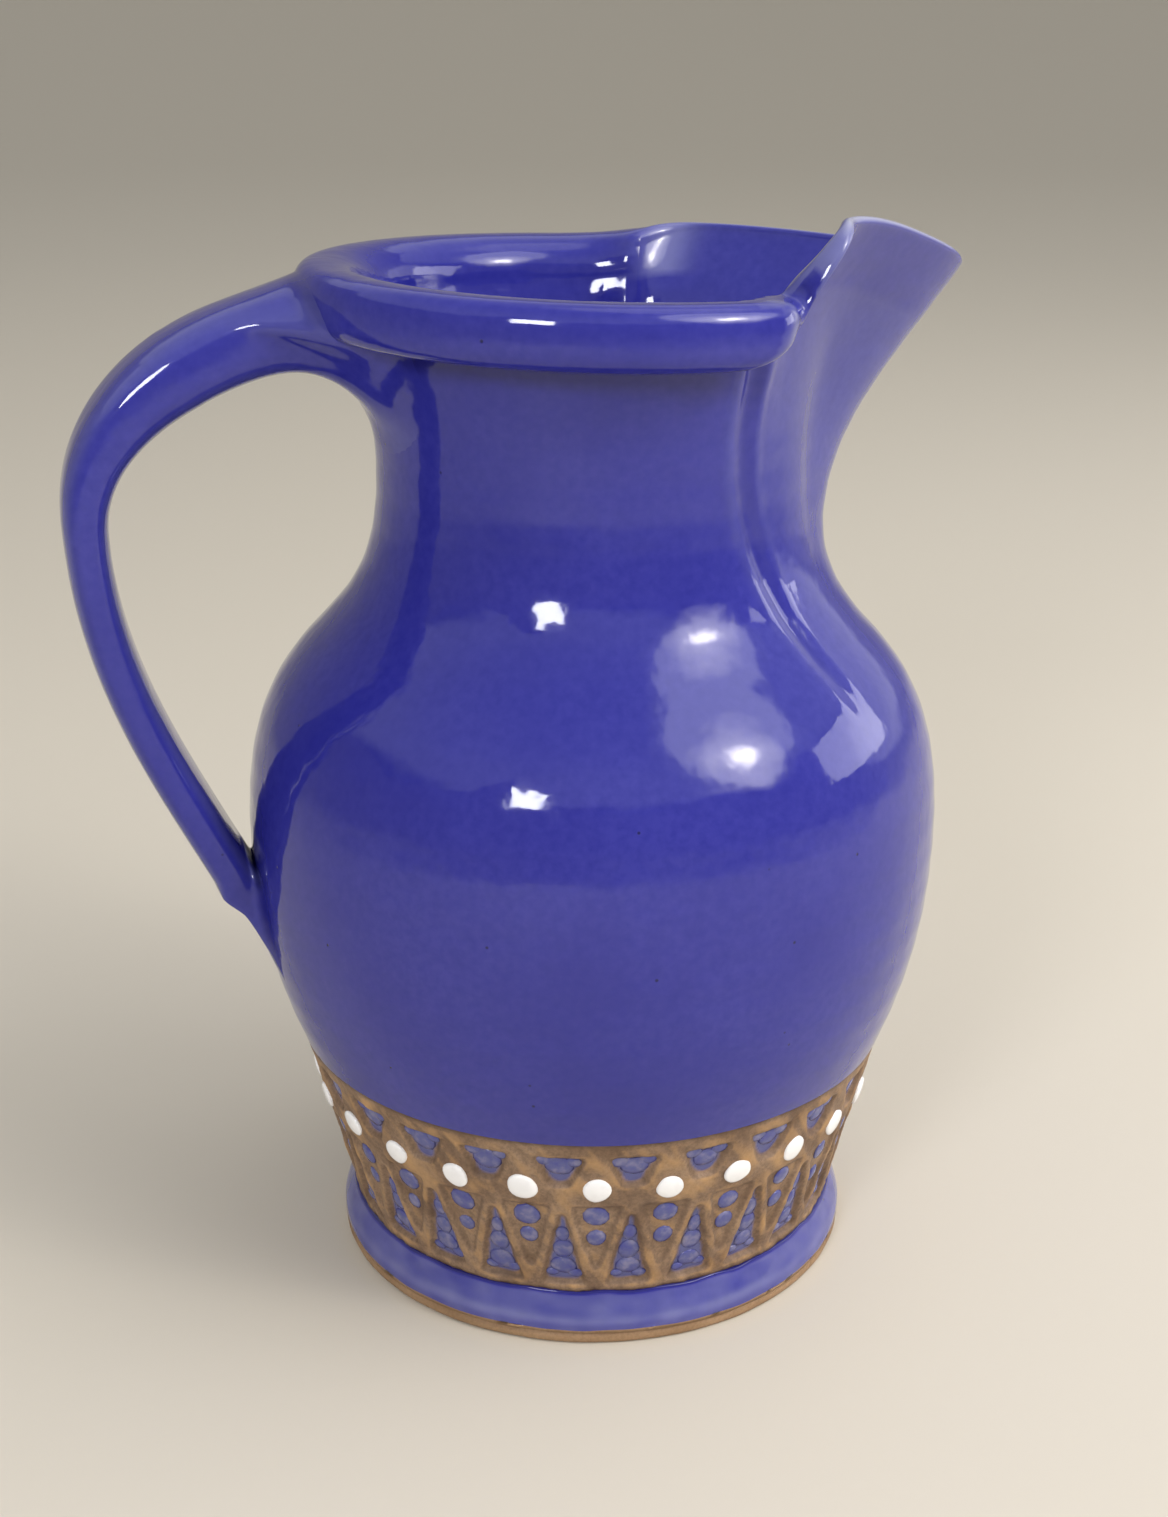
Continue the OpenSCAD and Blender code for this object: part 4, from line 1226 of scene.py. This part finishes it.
class PITCHER_OT_pull_handle(Operator):
    """Makes the strap handle and the two roots that join it to the wall."""
    bl_idname = "pitcher.pull_handle"
    bl_label = "Pull the handle"

    def execute(self, context):
        pot = Pot(context.scene)
        strap = Strap(pot)
        upper, lower = root_lines(pot, strap, True), root_lines(pot, strap, False)
        rings = [[pressed_in(pot, co, share) for co in upper[0]] for share in CAP_SHARES]
        rings += upper + [strap.ring(i / STRAP_ROWS) for i in range(STRAP_ROWS + 1)] + lower[::-1]
        wall, first = len(CAP_SHARES), len(CAP_SHARES) + ROOT_ROWS
        last, end, half = first + STRAP_ROWS, len(rings) - 1, len(rings) // 2
        skin = bmesh.new()
        row_of, glaze_and_shade = skin.verts.layers.int.new(ROW), marks(skin, GLAZE_THICKNESS_AND_SHADE)
        loop = bmesh.ops.create_circle(skin, segments=STRAP_SIDES, radius=1.0)["verts"]
        edges = list(skin.edges)
        for number, ring in enumerate(rings):
            if number:
                grown = bmesh.ops.extrude_edge_only(skin, edges=edges)["geom"]
                fresh = [g for g in grown if isinstance(g, bmesh.types.BMVert)]
                edges = [g for g in grown if isinstance(g, bmesh.types.BMEdge)]
                after = {edge.other_vert(vert): vert for vert in fresh for edge in vert.link_edges}
                loop = [after[vert] for vert in loop]
            for i, (vert, co) in enumerate(zip(loop, ring)):
                hand = STRAP_HAND * wobble(*co, STRAP_GRAIN)
                vert.co = co + Vector((0, math.copysign(hand, co.y), 0))
                vert[row_of] = number
                vert[glaze_and_shade] = 0.1 * abs(math.sin(2 * math.tau * i / STRAP_SIDES)) ** 5
        for rounds, low, high in ((5, wall, first + BLEND_ROWS), (1, last, end)):
            between = [v for v in skin.verts if low < v[row_of] < high]
            for _ in range(rounds):
                bmesh.ops.smooth_vert(
                    skin, verts=between, factor=0.5, use_axis_x=True, use_axis_y=True, use_axis_z=True)
        for vert in skin.verts:
            r, turn = polar(vert.co)
            z = vert.co.z
            if z < ROLL_SEAT and vert[row_of] >= wall:
                uneven = pot.outer_r(math.degrees(turn), z) - pot.wall_r(z)
                place(vert, r + uneven * (1 - ease((r - pot.wall_r(z)) / BLEND_GAP)), turn, z)
        hub = sum((v.co for v in skin.verts if v[row_of] == half + 1), Vector()) / STRAP_SIDES
        middle = next(f for f in skin.faces if all(v[row_of] > half for v in f.verts))
        kept_normal = shade_as_one(skin, middle, hub)
        for vert in skin.verts:
            own = ease(min(vert[row_of] - wall, end - vert[row_of]) / BLEND_ROWS)
            if vert.co.z < ROLL_SEAT:
                own = ease((polar(vert.co)[0] - pot.wall_r(vert.co.z)) / BLEND_GAP)
            if own < 1:
                vert[kept_normal] = seat_normal(pot, vert.co).lerp(vert[kept_normal], own).normalized()
        cut_pieces(skin, {
            "handle_upper_root": (lambda f: middle_row(f, row_of) < first, []),
            "handle": (lambda f: first < middle_row(f, row_of) < last, []),
            "handle_lower_root": (lambda f: middle_row(f, row_of) > last, []),
        }, cobalt_glaze(context.scene.pitcher_colours))
        return {"FINISHED"}


# Stage

CAMERA_AT = (-0.1253, -0.4733, 0.3105)
CAMERA_LOOK = (0.2363, 0.9080, -0.3459)
CAMERA_LENS, CAMERA_SENSOR, CAMERA_CLIP = 48.14, 36, (0.01, 100)
# Lights: place, what they face, size, power, colour, and the share of the width that is bright, before its
# soft edge
LIGHTS = {
    "lamp_right": ((0.72, -0.75, 0.95), (0.0, 0.0, 0.13), (0.8, 0.8), 56.0, "#fffaf2", 0.06),
    "ceiling_right": ((1.8, -1.6, 2.6), (0.0, 0.0, 0.15), (3.2, 3.2), 78.0, "#fbfaff", 0.7),
    "window_right": ((1.0, -0.1, 0.46), (0.0, 0.0, 0.2), (0.62, 0.34), 2.2, "#f6f4ff", 1.0),
    "wall_right": ((1.4, 0.4, 0.5), (0.0, 0.0, 0.15), (1.8, 1.1), 5.2, "#fbfaff", 0.55),
    "window_left": ((-0.66, -0.92, 0.72), (0.0, 0.0, 0.15), (0.28, 0.25), 5.5, "#f4f6ff", 1.0),
    "sky": ((0.7, 0.2, 2.6), (0.0, 0.0, 0.0), (3.2, 3.2), 30.0, "#fffdf8", 0.4),
}
# The floor sweeps up far behind the pot, so that no edge of it shows, and greys a little toward that
FLOOR_SIZE, FLOOR_CELLS, FLOOR_FLAT, FLOOR_SWEEP, FLOOR_GREY = 12.0, 120, 4.0, 0.08, 0.3
# Brightness of the room from straight below to straight above
ROOM = ((0.0, 0.1), (0.49, 0.12), (0.7, 0.15), (0.745, 0.8), (0.82, 0.8), (1.0, 0.4))
ROOM_COLOUR = "#f0efee"


def stand(name, data, at, way):
    """Puts a light or a camera in the scene, looking that way."""
    made = bpy.data.objects.new(name, data)
    made.location = at
    made.rotation_euler = Vector(way).to_track_quat("-Z", "Y").to_euler()
    bpy.context.scene.collection.objects.link(made)
    return made


def soft_edge(data, bright):
    """Makes an area light fade from its middle to its edge."""
    data.use_nodes = True
    tree = data.node_tree
    across = add(tree, "NewGeometry").outputs["Parametric"]
    off = add(tree, "VectorMath", {0: across}, operation="DISTANCE", inputs={1: (0.5, 0.5, 0.0)})
    fade = add(tree, "ValToRGB", {"Fac": off.outputs["Value"]}, [
        (bright / 2, grey(1.0)), (mix(bright / 2, 0.5, 0.35), grey(0.16)), (0.5, grey(0.0))])
    tree.links.new(fade.outputs["Color"], tree.nodes["Emission"].inputs["Strength"])


def pale_floor(colours):
    """Painted floor of the studio."""
    # Pale, matt and even, a little greyer far off
    made, tree = new_material("pale_matt_floor")
    if tree is None:
        return made
    where = add(tree, "TexCoord").outputs["Object"]
    away = add(tree, "VectorMath", {0: where}, operation="LENGTH")
    share = add(tree, "Math", {0: away.outputs["Value"]}, operation="DIVIDE", inputs={1: FLOOR_FLAT})
    tone = add(tree, "ValToRGB", {"Fac": share.outputs[0]}, [
        (0.12, colours.floor), (0.6, mix_rgba(colours.floor, grey(FLOOR_GREY), 0.15))])
    finish(tree, {"Base Color": tone.outputs["Color"]}, Roughness=0.7)
    return made


class PITCHER_OT_set_stage(Operator):
    """Sets the floor, the lights and the camera."""
    bl_idname = "pitcher.set_stage"
    bl_label = "Set the stage"

    def execute(self, context):
        scene = context.scene
        bm = bmesh.new()
        bmesh.ops.create_grid(bm, x_segments=FLOOR_CELLS, y_segments=FLOOR_CELLS, size=FLOOR_SIZE)
        for vert in bm.verts:
            vert.co.z = FLOOR_SWEEP * max(0.0, vert.co.length - FLOOR_FLAT) ** 2
        smooth_faces(bm)
        mesh = bpy.data.meshes.new("pale_floor")
        bm.to_mesh(mesh)
        bm.free()
        mesh.materials.append(pale_floor(scene.pitcher_colours))
        ground = bpy.data.objects.new("pale_floor", mesh)
        scene.collection.objects.link(ground)
        for name, (at, aim, size, watts, tint, bright) in LIGHTS.items():
            data = bpy.data.lights.new(name, "AREA")
            data.shape, data.size, data.size_y = "RECTANGLE", *size
            data.energy, data.color = watts, linear(tint)[:3]
            if bright < 1:
                soft_edge(data, bright)
            stand(name, data, at, Vector(aim) - Vector(at))
        world = bpy.data.worlds.new("studio")
        world.use_nodes = True
        tree = world.node_tree
        way = add(tree, "SeparateXYZ", {0: add(tree, "TexCoord").outputs["Generated"]})
        rise = add(tree, "MapRange", {"Value": way.outputs["Z"]}, inputs={"From Min": -1.0})
        room = add(tree, "ValToRGB", {"Fac": rise.outputs[0]}, [
            (at, mix_rgba(grey(0.0), linear(ROOM_COLOUR), light)) for at, light in ROOM])
        tree.links.new(room.outputs["Color"], tree.nodes["Background"].inputs["Color"])
        scene.world = world
        scene.view_settings.view_transform = "Standard"
        lens = bpy.data.cameras.new("view")
        lens.lens, lens.sensor_width = CAMERA_LENS, CAMERA_SENSOR
        lens.clip_start, lens.clip_end = CAMERA_CLIP
        scene.camera = stand("view", lens, CAMERA_AT, CAMERA_LOOK)
        return {"FINISHED"}


OPERATORS = (
    PITCHER_OT_turn_foot, PITCHER_OT_carve_band, PITCHER_OT_throw_wall, PITCHER_OT_pull_handle,
    PITCHER_OT_lay_dots, PITCHER_OT_run_drops, PITCHER_OT_set_stage)
GROUPS = {
    "pitcher_wall": PitcherWall, "pitcher_spout": PitcherSpout, "pitcher_handle": PitcherHandle,
    "pitcher_band": PitcherBand, "pitcher_colours": PitcherColours}


class PITCHER_PT_sidebar(Panel):
    """Sizes, colours and steps of the pitcher."""
    bl_idname = "PITCHER_PT_sidebar"
    bl_label = "Pitcher"
    bl_space_type = "VIEW_3D"
    bl_region_type = "UI"
    bl_category = "Pitcher"

    def draw(self, context):
        layout = self.layout
        for step in OPERATORS:
            layout.operator(step.bl_idname)
        for name, group in GROUPS.items():
            box = layout.box()
            box.label(text=group.__doc__)
            for value in group.__annotations__:
                box.prop(getattr(context.scene, name), value)


CLASSES = (*GROUPS.values(), *OPERATORS, PITCHER_PT_sidebar)


def register():
    for made in CLASSES:
        bpy.utils.register_class(made)
    for name, group in GROUPS.items():
        setattr(bpy.types.Scene, name, PointerProperty(type=group))


def unregister():
    for name in GROUPS:
        delattr(bpy.types.Scene, name)
    for made in reversed(CLASSES):
        bpy.utils.unregister_class(made)


def main():
    register()
    bpy.ops.pitcher.turn_foot()
    bpy.ops.pitcher.carve_band()
    bpy.ops.pitcher.throw_wall()
    bpy.ops.pitcher.pull_handle()
    bpy.ops.pitcher.lay_dots()
    bpy.ops.pitcher.run_drops()
    bpy.ops.pitcher.set_stage()


if __name__ == "__main__":
    main()
